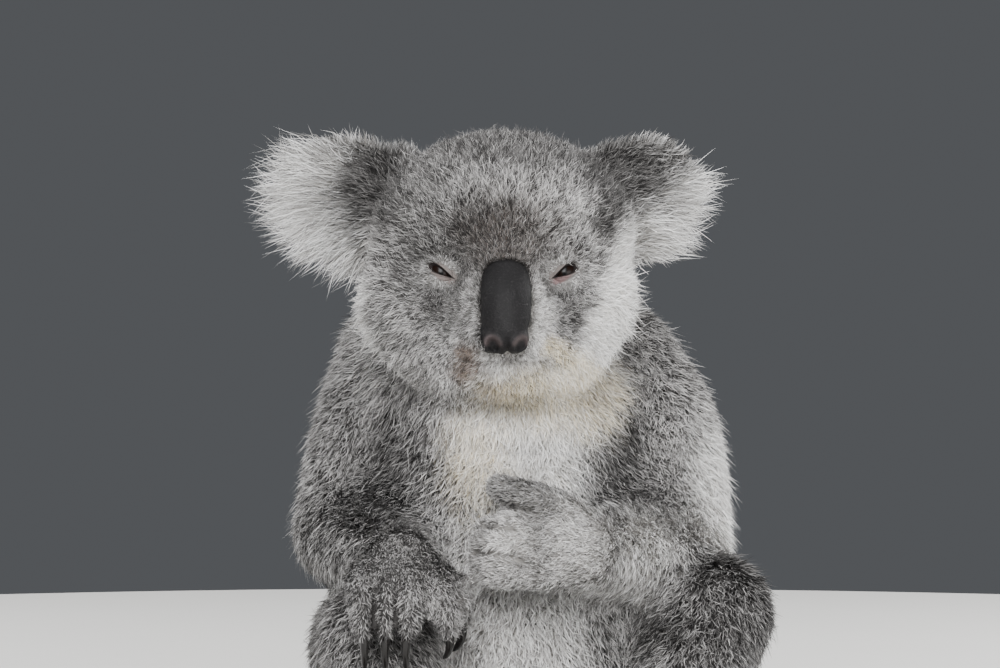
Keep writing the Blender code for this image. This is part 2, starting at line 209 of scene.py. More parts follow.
def paint(mesh: bpy.types.Mesh, name: str, values: Array) -> None:
    """Keeps one number for each of the mesh's points under that name."""
    layer = mesh.attributes.new(name, "FLOAT", "POINT")
    layer.data.foreach_set("value", np.ascontiguousarray(values, np.float32))


def settle(obj: bpy.types.Object) -> None:
    """Keeps what an object's modifiers make as its own mesh.

    Args:
        obj: the object, which has no modifiers afterwards.
    """
    graph = bpy.context.evaluated_depsgraph_get()
    made = bpy.data.meshes.new_from_object(obj.evaluated_get(graph), depsgraph=graph)
    obj.modifiers.clear()
    obj.data = made


def solids(nodes: list[str], swell: float) -> bpy.types.Mesh:
    """Joins copies of CAD solids into one mesh.

    Args:
        nodes: the solids' names.
        swell: how far each surface is moved out.

    Returns:
        The mesh, with each solid still a body of its own.
    """
    shape = bmesh.new()
    for name in nodes:
        shape.from_mesh(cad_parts[name].data)
    bmesh.ops.remove_doubles(shape, verts=shape.verts, dist=2e-6)
    shape.normal_update()
    steps = [vert.normal * (swell * MM) for vert in shape.verts]
    for vert, step in zip(shape.verts, steps):
        vert.co += step
    mesh = bpy.data.meshes.new("joined")
    shape.to_mesh(mesh)
    shape.free()
    return mesh


def remelt(obj: bpy.types.Object, voxel: float) -> None:
    """Melts an object's bodies into one closed, even mesh.

    Args:
        obj: the object.
        voxel: the mesh's grain.
    """
    melt = obj.modifiers.new("melt", "REMESH")
    melt.mode = "VOXEL"
    melt.voxel_size = voxel * MM
    settle(obj)


class Surface:
    """A mesh object's points as arrays, with what it takes to smooth values over it."""

    def __init__(self, obj: bpy.types.Object) -> None:
        """Reads the points and edges.

        Args:
            obj: the mesh object.
        """
        self.obj = obj
        self.points = read(obj.data.vertices, "co", 3) / MM
        self.edges = read(obj.data.edges, "vertices", 2)
        self.degree = np.maximum(np.bincount(self.edges.ravel(), minlength=len(self.points)), 1)

    def write(self) -> None:
        """Puts the points back into the mesh."""
        self.obj.data.vertices.foreach_set("co", (self.points * MM).astype(np.float32).ravel())
        self.obj.data.update()

    def normals(self) -> Array:
        """Gives the outward direction at each point."""
        self.write()
        return read(self.obj.data.vertex_normals, "vector", 3)

    def spread(self, values: Array, rounds: int, share: float = 0.6) -> Array:
        """Smooths values over the surface.

        Args:
            values: one row for each point.
            rounds: how many times each point moves towards its neighbours' average.
            share: how far it moves each time.

        Returns:
            The smoothed rows.
        """
        rows = values.reshape(len(values), -1).astype(float)
        first, second = self.edges.T
        count = len(rows)
        for _ in range(rounds):
            columns = [
                np.bincount(first, column[second], count) + np.bincount(second, column[first], count)
                for column in rows.T
            ]
            rows = rows + (np.stack(columns, axis=1) / self.degree[:, None] - rows) * share
        return rows.reshape(values.shape)


def finish_piece(obj: bpy.types.Object, material: bpy.types.Material) -> bpy.types.Object:
    """Dresses a piece, shades it smooth and fixes it to the body.

    Args:
        obj: the piece.
        material: its material.

    Returns:
        The piece.
    """
    obj.data.materials.clear()
    obj.data.materials.append(material)
    obj.data.polygons.foreach_set("use_smooth", [True] * len(obj.data.polygons))
    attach(obj, BODY)
    LOG.info("%s: %d faces", obj.name, len(obj.data.polygons))
    return obj


# ----------------------------------------------------------------------------------------- materials


def linear(code: str) -> tuple[float, float, float, float]:
    """Turns an sRGB colour into a linear one.

    Args:
        code: the colour in hex, such as #d6d5d2.

    Returns:
        Red, green, blue and alpha.
    """
    parts = [int(code[place : place + 2], 16) / 255 for place in (1, 3, 5)]
    red, green, blue = (c / 12.92 if c <= 0.04045 else ((c + 0.055) / 1.055) ** 2.4 for c in parts)
    return red, green, blue, 1.0


def add_node(tree: bpy.types.NodeTree, kind: str, inputs: dict[Any, Any], **settings: Any) -> bpy.types.Node:
    """Adds one node with its settings and links.

    Args:
        tree: the material's nodes.
        kind: the node's type.
        inputs: for each socket's name or number, a value or the output socket that feeds it.
        settings: the node's own properties.

    Returns:
        The node.
    """
    made = tree.nodes.new(kind)
    for name, value in settings.items():
        setattr(made, name, value)
    for key, value in inputs.items():
        if isinstance(value, bpy.types.NodeSocket):
            tree.links.new(value, made.inputs[key])
        else:
            made.inputs[key].default_value = value
    return made


COLOURS = {"data_type": "RGBA"}  # makes a mix node mix colours


def new_material(name: str) -> tuple[bpy.types.Material, bpy.types.NodeTree, bpy.types.Node]:
    """Makes a material with nothing but its shader.

    Args:
        name: its name.

    Returns:
        The material, its nodes and its shader.
    """
    material = bpy.data.materials.new(name)
    material.use_nodes = True
    tree = material.node_tree
    return material, tree, tree.nodes["Principled BSDF"]


@dataclass(frozen=True)
class Fur:
    """Fur: guard hair with dark roots and pale tips, which looks dull, soft, and grizzled from tuft to tuft.

    Each pair of colours is the darkest and the palest that a tuft's tip may have there. The skin under it
    shows short underfur, and bare lids and lips.
    """

    name: str
    grey: tuple[str, str] = ("#3c3a39", "#e2e0de")
    dark: tuple[str, str] = ("#181717", "#666463")
    white: tuple[str, str] = ("#cfcdca", "#ffffff")
    cream: tuple[str, str] = ("#dccba6", "#f6ecd2")
    brown: tuple[str, str] = ("#3b2c26", "#77604f")
    root_grey: str = "#2b2928"
    root_white: str = "#d2cec8"
    lid: str = "#6d6562"
    pink: str = "#735658"
    rim: str = "#1f1918"
    roughness: float = 0.72
    specular: float = 0.25
    root_end: float = 0.12  # how far along a tuft its root's colour ends
    tip_start: float = 0.9  # how far along it its tip's colour is full
    wisp_mm: float = 1.20482
    wisp_depth_mm: float = 0.8
    under: bool = False

    def build(self) -> bpy.types.Material:
        """Makes the material.

        Returns:
            It, coloured by the markings that its mesh carries.
        """
        material, tree, shader = new_material(self.name)
        marks = ("dark", "brown", "white", "cream")  # each is laid over those before it
        bare = ("lid", "pink", "rim") if self.under else ()
        fact = {
            name: add_node(tree, "ShaderNodeAttribute", {}, attribute_name=name).outputs["Fac"]
            for name in ("tip", "chance", *marks, *bare)
        }
        shades = {}
        for name in ("grey", *marks):
            low, high = (linear(code) for code in getattr(self, name))
            mix = {0: fact["chance"], 6: low, 7: high}
            shades[name] = add_node(tree, "ShaderNodeMix", mix, **COLOURS).outputs[2]
        tips = shades["grey"]
        for name in marks:
            mix = {0: fact[name], 6: tips, 7: shades[name]}
            tips = add_node(tree, "ShaderNodeMix", mix, **COLOURS).outputs[2]
        mix = {0: fact["white"], 6: linear(self.root_grey), 7: linear(self.root_white)}
        roots = add_node(tree, "ShaderNodeMix", mix, **COLOURS).outputs[2]
        turn = {0: fact["tip"], 1: self.root_end, 2: self.tip_start}
        along = add_node(tree, "ShaderNodeMapRange", turn, interpolation_type="SMOOTHSTEP").outputs[0]
        colour = add_node(tree, "ShaderNodeMix", {0: along, 6: roots, 7: tips}, **COLOURS).outputs[2]
        for name in bare:
            mix = {0: fact[name], 6: colour, 7: linear(getattr(self, name))}
            colour = add_node(tree, "ShaderNodeMix", mix, **COLOURS).outputs[2]
        if self.under:
            place = add_node(tree, "ShaderNodeTexCoord", {}).outputs["Object"]
            wisps = {"Vector": place, "Scale": 1 / (self.wisp_mm * MM), "Detail": 3.0}
            height = add_node(tree, "ShaderNodeTexNoise", wisps).outputs[0]
            bump = {"Height": height, "Distance": self.wisp_depth_mm * MM, "Strength": 0.8}
            tree.links.new(add_node(tree, "ShaderNodeBump", bump).outputs[0], shader.inputs["Normal"])
        tree.links.new(colour, shader.inputs["Base Color"])
        shader.inputs["Roughness"].default_value = self.roughness
        shader.inputs["Specular IOR Level"].default_value = self.specular
        return material


@dataclass(frozen=True)
class NoseLeather:
    """Nose leather: bare black skin, finely pebbled, with a faint moist sheen, and paler in the nostrils,
    whose pinkish inner skin carries a painted highlight on its upper rims.
    """

    name: str = "nose_leather"
    base: str = "#0b0a0b"
    worn: str = "#1a191a"
    pebble: str = "#2f2d2e"
    inner: str = "#5a5050"
    patch_mm: float = 6.25
    speck_mm: float = 1.11111
    grain_mm: float = 0.8
    grain_depth_mm: float = 0.3
    roughness: tuple[float, float] = (0.55, 0.75)
    specular: float = 0.22

    def build(self) -> bpy.types.Material:
        """Makes the material.

        Returns:
            It, paler where the mesh keeps a share of inner skin and painted highlight.
        """
        material, tree, shader = new_material(self.name)
        place = add_node(tree, "ShaderNodeTexCoord", {}).outputs["Object"]
        inside = add_node(tree, "ShaderNodeAttribute", {}, attribute_name="inside").outputs["Fac"]
        patches = {"Vector": place, "Scale": 1 / (self.patch_mm * MM), "Detail": 4.0}
        patch = add_node(tree, "ShaderNodeTexNoise", patches).outputs[0]
        specks = {"Vector": place, "Scale": 1 / (self.speck_mm * MM), "Detail": 2.0}
        grain = add_node(tree, "ShaderNodeTexNoise", specks).outputs[0]
        speck = add_node(tree, "ShaderNodeMapRange", {0: grain, 1: 0.52, 2: 0.72, 3: 0.0, 4: 0.55}).outputs[0]
        colour: Any = linear(self.base)
        for share, layer in ((patch, self.worn), (speck, self.pebble), (inside, self.inner)):
            mix = {0: share, 6: colour, 7: linear(layer)}
            colour = add_node(tree, "ShaderNodeMix", mix, **COLOURS).outputs[2]
        tree.links.new(colour, shader.inputs["Base Color"])
        cells = add_node(tree, "ShaderNodeTexVoronoi", {"Vector": place, "Scale": 1 / (self.grain_mm * MM)})
        bump = {"Height": cells.outputs["Distance"], "Distance": self.grain_depth_mm * MM, "Strength": 0.7}
        tree.links.new(add_node(tree, "ShaderNodeBump", bump).outputs[0], shader.inputs["Normal"])
        low, high = self.roughness
        rough = add_node(tree, "ShaderNodeMapRange", {0: patch, 3: low, 4: high}).outputs[0]
        tree.links.new(rough, shader.inputs["Roughness"])
        shader.inputs["Specular IOR Level"].default_value = self.specular
        return material


@dataclass(frozen=True)
class ClawHorn:
    """Claw horn: black keratin worn smooth, which gives a gloss, with faint streaks along its length."""

    name: str = "claw_horn"
    base: str = "#0e0c0b"
    streak: str = "#352e2a"
    streak_mm: float = 0.5
    streak_depth_mm: float = 0.1
    roughness: float = 0.24

    def build(self) -> bpy.types.Material:
        """Makes the material.

        Returns:
            It, streaked along the claws, which hang or point down.
        """
        material, tree, shader = new_material(self.name)
        place = add_node(tree, "ShaderNodeTexCoord", {}).outputs["Object"]
        drawn = add_node(tree, "ShaderNodeMapping", {"Vector": place, "Scale": (1.0, 1.0, 0.2)}).outputs[0]
        streaks = {"Vector": drawn, "Scale": 1 / (self.streak_mm * MM), "Detail": 3.0}
        fibres = add_node(tree, "ShaderNodeTexNoise", streaks).outputs[0]
        share = add_node(tree, "ShaderNodeMapRange", {0: fibres, 1: 0.5, 2: 0.8, 3: 0.0, 4: 0.5}).outputs[0]
        mix = {0: share, 6: linear(self.base), 7: linear(self.streak)}
        colour = add_node(tree, "ShaderNodeMix", mix, **COLOURS).outputs[2]
        tree.links.new(colour, shader.inputs["Base Color"])
        bump = {"Height": fibres, "Distance": self.streak_depth_mm * MM, "Strength": 0.5}
        tree.links.new(add_node(tree, "ShaderNodeBump", bump).outputs[0], shader.inputs["Normal"])
        shader.inputs["Roughness"].default_value = self.roughness
        return material


@dataclass(frozen=True)
class WetEye:
    """Wet eye: a dark brown iris with an upright slit pupil, under tears that give it a faint gloss."""

    name: str = "eye_surface"
    pupil: str = "#040303"
    iris: str = "#160c08"
    edge: str = "#0c0706"
    roughness: float = 0.3
    specular: float = 0.16
    tears: float = 0.03

    def build(self) -> bpy.types.Material:
        """Makes the material.

        Returns:
            It, coloured by the shares of iris and pupil that the mesh keeps.
        """
        material, tree, shader = new_material(self.name)
        colour: Any = linear(self.edge)
        for name in ("iris", "pupil"):
            share = add_node(tree, "ShaderNodeAttribute", {}, attribute_name=name).outputs["Fac"]
            mix = {0: share, 6: colour, 7: linear(getattr(self, name))}
            colour = add_node(tree, "ShaderNodeMix", mix, **COLOURS).outputs[2]
        tree.links.new(colour, shader.inputs["Base Color"])
        shader.inputs["Roughness"].default_value = self.roughness
        shader.inputs["Specular IOR Level"].default_value = self.specular
        shader.inputs["Coat Weight"].default_value = self.tears
        shader.inputs["Coat Roughness"].default_value = 0.03
        return material


# -------------------------------------------------------------------------------------- coat growing


@dataclass(frozen=True)
class Growth:
    """How the coat grows in one place, in millimetres.

    It tells how deep the skin lies under the solids' surface, how high the tips stand over the skin, a tuft's
    length and width, and how many tufts want to stand on a square millimetre.
    """

    inset: float
    height: float
    length: float
    width: float
    density: float

    def row(self) -> Array:
        """Gives the five values."""
        return np.array([self.inset, self.height, self.length, self.width, self.density])

    def over(self, rows: Array, share: Array) -> Array:
        """Draws rows of such values towards these, by a share for each row."""
        return rows + (self.row() - rows) * share[:, None]


CROWN = Growth(2.4, 5.2, 7.8, 0.64, 2.7)
FACE = Growth(1.6, 2.2, 3.6, 0.43, 5.6)
EYE_EDGE = Growth(1.5, 1.5, 2.6, 0.36, 6.5)
CHEEK = Growth(5.0, 8.0, 12.5, 0.68, 2.0)
EAR_BACK = Growth(4.5, 6.5, 11.0, 0.78, 1.5)
EAR_BASE = Growth(3.4, 6.6, 9.5, 0.64, 2.6)
EAR_FRINGE = Growth(4.5, 4.6, 32.0, 0.43, 3.0)
PAW = Growth(2.2, 2.6, 4.6, 0.55, 2.6)
PARTS: dict[str, Growth] = {
    "head": CROWN,
    "nose": FACE,
    "eye": FACE,
    "ear": EAR_BACK,
    "neck": Growth(6.0, 8.2, 11.5, 0.74, 1.7),
    "trunk": Growth(7.6, 7.6, 9.8, 0.74, 1.35),
    "upper_arm": Growth(7.0, 7.0, 9.2, 0.68, 2.0),
    "forearm": Growth(5.6, 5.8, 8.2, 0.64, 2.2),
    "hand": PAW,
    "thigh": Growth(7.4, 7.3, 9.8, 0.78, 1.3),
    "shin": Growth(6.0, 6.2, 8.8, 0.74, 1.5),
    "foot": Growth(2.6, 3.2, 5.6, 0.68, 1.6),
}
# The left ear's edge between short grey fur above and long white locks below, as (x, z).
LEFT_EAR_EDGE = [(50, 276), (56, 286), (58, 297), (61, 308), (70, 318), (86, 331), (110, 341), (126, 343)]
TUFTS = 474_000  # in the whole coat
MOST_TRIANGLES = 195_000  # in one piece of the coat
SCATTER = (127.1, 311.7, 74.7)  # turns a cell's place into a number that looks random


def kind_of(node: str) -> str:
    """Gives a node's kind: its name without the side."""
    return node[:-2] if node[-2:] in ("_l", "_r") else node


class Anatomy:
    """Knows which part of the body each place belongs to, and how the coat grows and lies there."""

    MARKS_APART = 4.0  # the most between two marks on a solid, in millimetres

    def __init__(self) -> None:
        """Lists the parts and scatters marks over their solids, to find the nearest part by."""
        self.names = [name for name in sorted(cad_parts) if "claw" not in name]
        marks: list[tuple[Vector, int]] = []
        for number, name in enumerate(self.names):
            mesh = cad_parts[name].data
            mesh.calc_loop_triangles()
            for triangle in mesh.loop_triangles:
                a, b, c = (mesh.vertices[index].co for index in triangle.vertices)
                steps = max(1, math.ceil(max((b - a).length, (c - a).length) / (self.MARKS_APART * MM)))
                for i in range(steps + 1):
                    for j in range(steps + 1 - i):
                        marks.append((a + (b - a) * (i / steps) + (c - a) * (j / steps), number))
        self.tree = KDTree(len(marks))
        for index, (place, _) in enumerate(marks):
            self.tree.insert(place, index)
        self.tree.balance()
        self.owners = np.array([number for _, number in marks])
        self.clefts = self.find_clefts()

    def parts_at(self, points: Array) -> Array:
        """Gives the number of the nearest part for each point."""
        found = [self.tree.find(Vector(row))[1] for row in points * MM]
        return self.owners[np.array(found)]

    def is_part(self, parts: Array, *kinds: str) -> Array:
        """Tells for each point whether its part is one of these kinds or nodes."""
        wanted = [n for n, name in enumerate(self.names) if kind_of(name) in kinds or name in kinds]
        return np.isin(parts, wanted)

    def growth(self, surface: Surface, parts: Array) -> Array:
        """Gives the coat's growth over the skin, smoothed from part to part.

        Args:
            surface: the skin.
            parts: the part of each of its points.

        Returns:
            A Growth's row for each point.
        """
        rows = np.array([PARTS[kind_of(name)].row() for name in self.names])[parts]
        points, normals = surface.points, surface.normals()
        head = self.is_part(parts, "head", "nose", "eye")
        mirrored = np.abs(points[:, 0])
        folded = np.column_stack([mirrored, points[:, 1:]])
        cheek = head * blob(folded, (58, -60, 262), (26, 40, 34), 0.5)
        rows = CHEEK.over(rows, cheek)
        face = head * blob(folded, (10, -112, 270), (46, 36, 42), 0.45)
        rows = FACE.over(rows, face)
        rows[:, 0] += cheek * np.where(points[:, 0] > 0, 4.5, -2.0)
        eye = head * blob(folded, (33, -96, 285), (10, 14, 7), 0.5)
        rows = EYE_EDGE.over(rows, eye)
        ear = self.is_part(parts, "ear")
        fringe = ear * ramp(normals[:, 1], 0.25, -0.35) * (1 - self.short_ear(points))
        rows = EAR_FRINGE.over(rows, fringe)
        rows[:, 2] *= 1 - 0.28 * fringe * ramp(points[:, 2], 326, 292)
        base = (ear | head) * self.short_ear(points) * ramp(mirrored, 40, 52)
        rows = EAR_BASE.over(rows, base)
        rows = surface.spread(rows, 22)
        rows[:, 1:3] *= (1 - 0.45 * self.creases(points))[:, None]
        return rows

    def short_ear(self, points: Array) -> Array:
        """Tells the ears' two kinds of fur apart.

        Args:
            points: rows of places.

        Returns:
            1 where it is short and dense like the crown's, and 0 where it is long and pale.
        """
        x, z = points[:, 0], points[:, 2]
        edge = np.interp(x, *zip(*LEFT_EAR_EDGE))
        left = ramp(z - edge, -5, 5) * (x > 0)
        right = np.maximum(
            blob(points, (-66, -30, 332), (16, 80, 24), 0.3),
            band(points, [(-66, 345), (-84, 350), (-106, 349)], 7) * 0.8,
        )
        return np.where(x > 0, left, right)

    def under_nose(self, points: Array) -> Array:
        """Measures places against the nose pad's outline.

        Args:
            points: rows of places.

        Returns:
            A measure that is below 1 under the pad, and above 1 beside it.
        """
        across = np.abs(points[:, 0] - NOSE_MIDDLE[0]) / 13.4
        upright = np.abs(points[:, 2] - NOSE_MIDDLE[2] - 1) / 24.5
        return (across**3.5 + upright**3.5) ** (1 / 3.5) + 9.0 * (points[:, 1] > -101)

    def lie(self, surface: Surface, parts: Array) -> Array:
        """Gives the direction in which the coat lies, smoothed over the skin.

        Args:
            surface: the skin.
            parts: the part of each of its points.

        Returns:
            A direction for each point, along the skin except on the ears, whose locks stand free.
        """
        points, normals = surface.points, surface.normals()
        lies = np.tile(np.array([0.0, 0.1, -1.0]), (len(points), 1))
        for number, name in enumerate(self.names):
            here = parts == number
            if here.any():
                lies[here] = self.lie_on(name, points[here])
        bound = ~self.is_part(parts, "ear")[:, None]
        lies -= normals * (lies * normals).sum(axis=1, keepdims=True) * bound
        return unit(surface.spread(unit(lies), 24))

    def lie_on(self, name: str, points: Array) -> Array:
        """Gives the lie of the coat at points of one part.

        Args:
            name: the part's node.
            points: rows of places on it.

        Returns:
            A row of a direction for each, not yet laid along the skin.
        """
        kind, side = kind_of(name), name[-1]
        limbs = {
            "upper_arm": (SHOULDER, ELBOW),
            "forearm": (ELBOW, WRIST),
            "thigh": (HIP, KNEE),
            "shin": (KNEE, ANKLE),
        }
        if kind in limbs:
            start, end = limbs[kind]
            run = unit(np.subtract([end[side]], start[side]).astype(float)) * np.array([1, 0.3, 1])
            return np.tile(run + np.array([0, 0, -0.45]), (len(points), 1))
        if kind in ("head", "nose", "eye"):
            away = unit(points - np.array([0, -104, 262]))
            for sign in SIDES.values():
                eye = points - np.array([sign * EYE_AT[0], EYE_AT[1], EYE_AT[2]])
                near = ramp(np.hypot(eye[:, 0], eye[:, 2]), 19, 9)[:, None]
                away = away * (1 - near) + unit(eye * np.array([1, 0, 1])) * near
            low = ramp(points[:, 2], 290, 250) * ramp(np.abs(points[:, 0]), 20, 50)
            away[:, 2] -= 0.1 + 0.45 * low
            return away
        if kind == "ear":
            away = (points - np.array(EAR_FAN[side])) * np.array([1, 0.5, 1])
            return unit(away)
        if kind == "neck":
            away = points - np.array([0, -20, 305])
            return unit(away) + np.array([0, 0.1, -0.7])
        if kind == "foot":
            turn = math.radians(FOOT_TURN[side])
            return np.tile([math.sin(turn), -math.cos(turn), -0.15], (len(points), 1))
        if name == "hand_l":
            x, y, z = (points - np.array([8, -98, 138])).T
            curl = np.column_stack([y, -x, z * 0])
            return np.where((x < 0)[:, None], unit(curl), np.array([-1, -0.3, 0]))
        if name == "hand_r":
            x, y, z = (points - np.array([-58, -112, 120])).T
            curl = np.column_stack([x * 0, -z, y])
            return np.where((y < 0)[:, None], unit(curl), np.array([-0.05, -0.95, -0.28]))
        return np.tile([0.0, 0.1, -1.0], (len(points), 1))

    def creases(self, points: Array) -> Array:
        """Finds the creases between the fingers and toes.

        Args:
            points: rows of places.

        Returns:
            1 in a crease, 0 away from it.
        """
        fist = (points[:, 1] < -108) & (np.abs(points[:, 0] - 2) < 34) & (points[:, 2] > 122)
        deep = np.zeros(len(points))
        for fold in FIST_FOLDS:
            deep = np.maximum(deep, band(points, fold, 3.6) * fist)
        for tip, across, heel in self.clefts:
            length = np.linalg.norm(heel)
            along = (points - tip) @ (heel / length)
            aside = (points - tip) @ across
            away = np.linalg.norm(points - tip - along[:, None] * (heel / length), axis=1)
            share = ramp(np.abs(aside), 4.8, 1.2) * ramp(along, length, length * 0.2) * (along > -9)
            deep = np.maximum(deep, share * (away < 20))
        return deep

    def find_clefts(self) -> list[tuple[Array, Array, Array]]:
        """Lays a cleft between each two neighbouring claws, back towards the wrist or ankle.

        Returns:
            Each cleft's place between the claws' roots, the way across it, and its run from there.
        """
        clefts = []
        paws = (("hand_r", WRIST["r"], 0.6), ("foot_l", ANKLE["l"], 0.3), ("foot_r", ANKLE["r"], 0.3))
        for paw, back, share in paws:
            roots = []
            for name in sorted(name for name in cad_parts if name.startswith(f"{paw}_claw")):
                corners = read(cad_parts[name].data.vertices, "co", 3) / MM
                reach = np.linalg.norm(corners - np.array(back), axis=1)
                roots.append(corners[reach < reach.min() + 4].mean(axis=0))
            for first, second in zip(roots[:-1], roots[1:]):
                if np.linalg.norm(second - first) < 30:
                    tip = (first + second) / 2
                    clefts.append((tip, unit((second - first)[None])[0], (np.array(back) - tip) * share))
        return clefts


class Markings:
    """The coat's markings over the skin, with some painted shade and light among them, as shares from 0 to 1.

    Their places are for the tufts' roots. On the face they lie nearer the nose than they show, because the
    tufts point away from it.
    """

    def __init__(self, anatomy: Anatomy, surface: Surface) -> None:
        """Finds which part of the body each point is on.

        Args:
            anatomy: the body.
            surface: the skin.
        """
        parts = anatomy.parts_at(surface.points)
        self.surface = surface
        self.points = surface.points
        shakes = [wobble(self.points, 16, seed) for seed in (1, 2, 3)]
        self.shaken = self.points + np.column_stack(shakes) * 1.6
        self.folded = np.column_stack([np.abs(self.shaken[:, 0]), self.shaken[:, 1:]])
        self.normals = surface.normals()
        self.front = ramp(self.normals[:, 1], 0.25, -0.25)
        self.head = anatomy.is_part(parts, "head", "nose", "eye")
        self.ear = anatomy.is_part(parts, "ear")
        self.paws = anatomy.is_part(parts, "hand")
        self.fist = self.paws * (self.points[:, 0] > -24)
        self.forearm = anatomy.is_part(parts, "forearm")
        self.arms = anatomy.is_part(parts, "upper_arm", "forearm")
        self.torso = anatomy.is_part(parts, "trunk", "neck")
        self.seat = anatomy.is_part(parts, "trunk", "neck", "thigh")
        self.legs = anatomy.is_part(parts, "shin", "foot", "thigh") * ramp(self.points[:, 1], 70, 0)
        self.short = anatomy.short_ear(self.shaken)
        self.creases = anatomy.creases(self.points)
        self.collar = (self.torso | self.arms) * blob(self.shaken, (50, -60, 220), (22, 50, 21), 0.4)
        self.mouth_corner = self.head * blob(self.shaken, (-18, -108, 238), (5.5, 20, 9), 0.6) * 0.9

    def white(self) -> Array:
        """Gives the white of the face, ears, trunk, arms and left paw."""
        parts = [self.white_face(), self.white_ears(), self.white_trunk(), self.white_arms()]
        return np.maximum.reduce(parts) * (1 - 0.85 * self.mouth_corner)

    def white_face(self) -> Array:
        """Gives the ruffs of the cheeks, the rings round the eyes, the muzzle's sides and the lips.

        Returns:
            A share for each point.
        """
        left = ramp(self.points[:, 0], -8, 8)
        ruff_left = band(self.shaken, [(66, 300), (60, 288), (55, 268), (49, 248), (42, 234), (30, 226)], 13)
        ruff_left *= 0.4 + 0.6 * ramp(self.points[:, 1], -12, -46)
        ruff_right = band(self.shaken, [(-76, 284), (-74, 262), (-68, 244), (-58, 230)], 10) * 0.8
        eye_ring = self.front * blob(self.folded, (33, -95, 285), (12, 14, 8.5), 0.5) * 0.22
        muzzle = blob(self.folded, (18, -108, 254), (11, 26, 24), 0.5) * (0.1 + 0.3 * left)
        lips = blob(self.folded, (4, -110, 238), (22, 24, 9), 0.4) * 0.45
        return self.head * np.maximum.reduce([ruff_left, ruff_right, eye_ring, muzzle, lips])

    def white_ears(self) -> Array:
        """Gives the long locks inside the ears, and the paler hair behind them."""
        inner = self.ear * self.front * (1 - self.short) * np.where(self.points[:, 0] > 0, 0.95, 0.72)
        return np.maximum(inner, self.ear * (1 - self.front) * 0.3)

    def white_trunk(self) -> Array:
        """Gives the bib and collar, the belly, the left flank with the fold above it, both partly painted
        light, and the patchy rump.

        Returns:
            A share for each point.
        """
        side = self.arms | self.torso
        bib = self.torso * blob(self.shaken, (14, -78, 200), (42, 60, 46), 0.3)
        bib *= 1 - 0.75 * blob(self.shaken, (58, -74, 184), (19, 50, 22), 0.6)
        belly = self.torso * blob(self.shaken, (6, -90, 100), (44, 50, 90), 0.35) * 0.5
        # The flank's white is partly painted rim light, and the fold's partly painted light that lifts the
        # shade in the fold at the left elbow.
        flank = blob(self.shaken, (124, -22, 160), (22, 50, 64), 0.6) * side
        fold = blob(self.points, (98, -50, 142), (20, 40, 16), 0.5) * side * 0.4
        patches = ramp(wobble(self.points, 17, 9) + 0.6 * wobble(self.points, 7, 10), -0.1, 0.9)
        rump = self.seat * blob(self.points, (0, 112, 36), (84, 66, 40), 0.4) * patches * 0.65
        return np.maximum.reduce([bib, belly, flank, fold, rump, self.collar * 0.85])

    def white_arms(self) -> Array:
        """Gives the inner side of the arms, the left wrist and elbow, the elbow partly painted light, and the
        back of the fist.

        Returns:
            A share for each point.
        """
        inner = self.forearm * ramp(self.normals[:, 2], 0.1, -0.7) * ramp(self.points[:, 1], 0, -50) * 0.5
        wrist = blob(self.points, (42, -115, 144), (20, 30, 26), 0.5) * (self.paws | self.arms) * 0.4
        # The elbow's white is partly painted light that lifts the shade in the fold at the left elbow.
        elbow = blob(self.points, (72, -70, 136), (26, 50, 18), 0.5) * self.arms * 0.7
        back = self.fist * blob(self.points, (6, -110, 142), (15, 60, 14), 0.5) * 0.45
        return np.maximum.reduce([inner, wrist, elbow, back, self.fist * 0.2])

    def dark(self) -> Array:
        """Gives the dark of the head, ears, arms, paws and legs."""
        # The left knee's darker fur, partly painted shadow between it and the left elbow.
        knee = self.legs * blob(self.points, KNEE["l"], (48, 60, 42), 0.4) * 0.7
        limbs = np.maximum.reduce([self.dark_paws(), self.dark_arms(), knee, self.legs * 0.32])
        return np.maximum.reduce([self.dark_head(), self.dark_ears(), limbs])

    def dark_head(self) -> Array:
        """Gives the patches under the eyes, the brow, painted shade on the right cheek, the nape and the
        crown.

        Returns:
            A share for each point.
        """
        under_eyes = self.front * np.maximum.reduce([
            blob(self.shaken, (-31, -100, 268), (13, 30, 15), 0.5) * 0.85,
            blob(self.shaken, (31, -100, 267), (10, 30, 14), 0.5) * 0.75,
            blob(self.shaken, (-45, -88, 288), (11, 30, 13), 0.5) * 0.8,
        ])
        brow = np.maximum.reduce([
            blob(self.shaken, (-9, -100, 302), (30, 40, 22), 0.6) * 0.95,
            blob(self.shaken, (-36, -80, 306), (24, 40, 22), 0.6) * 0.6,
            blob(self.shaken, (1.5, -110, 292), (17, 20, 8), 0.5),
        ])
        crown = np.maximum(
            blob(self.shaken, (0, -40, 352), (60, 60, 22), 0.5) * 0.85,
            blob(self.shaken, (-44, -50, 332), (20, 50, 22), 0.5) * 0.7,
        )
        # Painted shade over the right side of the face, between the eye and the nose and below them.
        shade = 0.4 * blob(self.shaken, (-30, -100, 276), (28, 40, 28), 0.5)
        nape = ramp(self.points[:, 1], -20, 30) * 0.25
        return self.head * np.maximum.reduce([under_eyes, brow, crown, shade, nape, self.mouth_corner])

    def dark_ears(self) -> Array:
        """Gives the dark fur at the ears' roots and along their tops, on the right ear's top partly a painted
        leaf shadow.

        Returns:
            A share for each point.
        """
        roots = np.maximum.reduce([
            blob(self.shaken, (-67, -40, 331), (19, 60, 24), 0.3),
            blob(self.shaken, (-57, -40, 316), (13, 60, 13), 0.4),
            blob(self.shaken, (60, -40, 334), (26, 60, 19), 0.3),
            band(self.shaken, [(62, 334), (54, 320), (50, 307)], 9),
        ])
        # Along the right ear's top this dark is partly a painted leaf shadow.
        top = self.ear * self.front * self.short * np.where(self.points[:, 0] > 0, 0.7, 0.35)
        return np.maximum((self.head | self.ear) * roots, top)

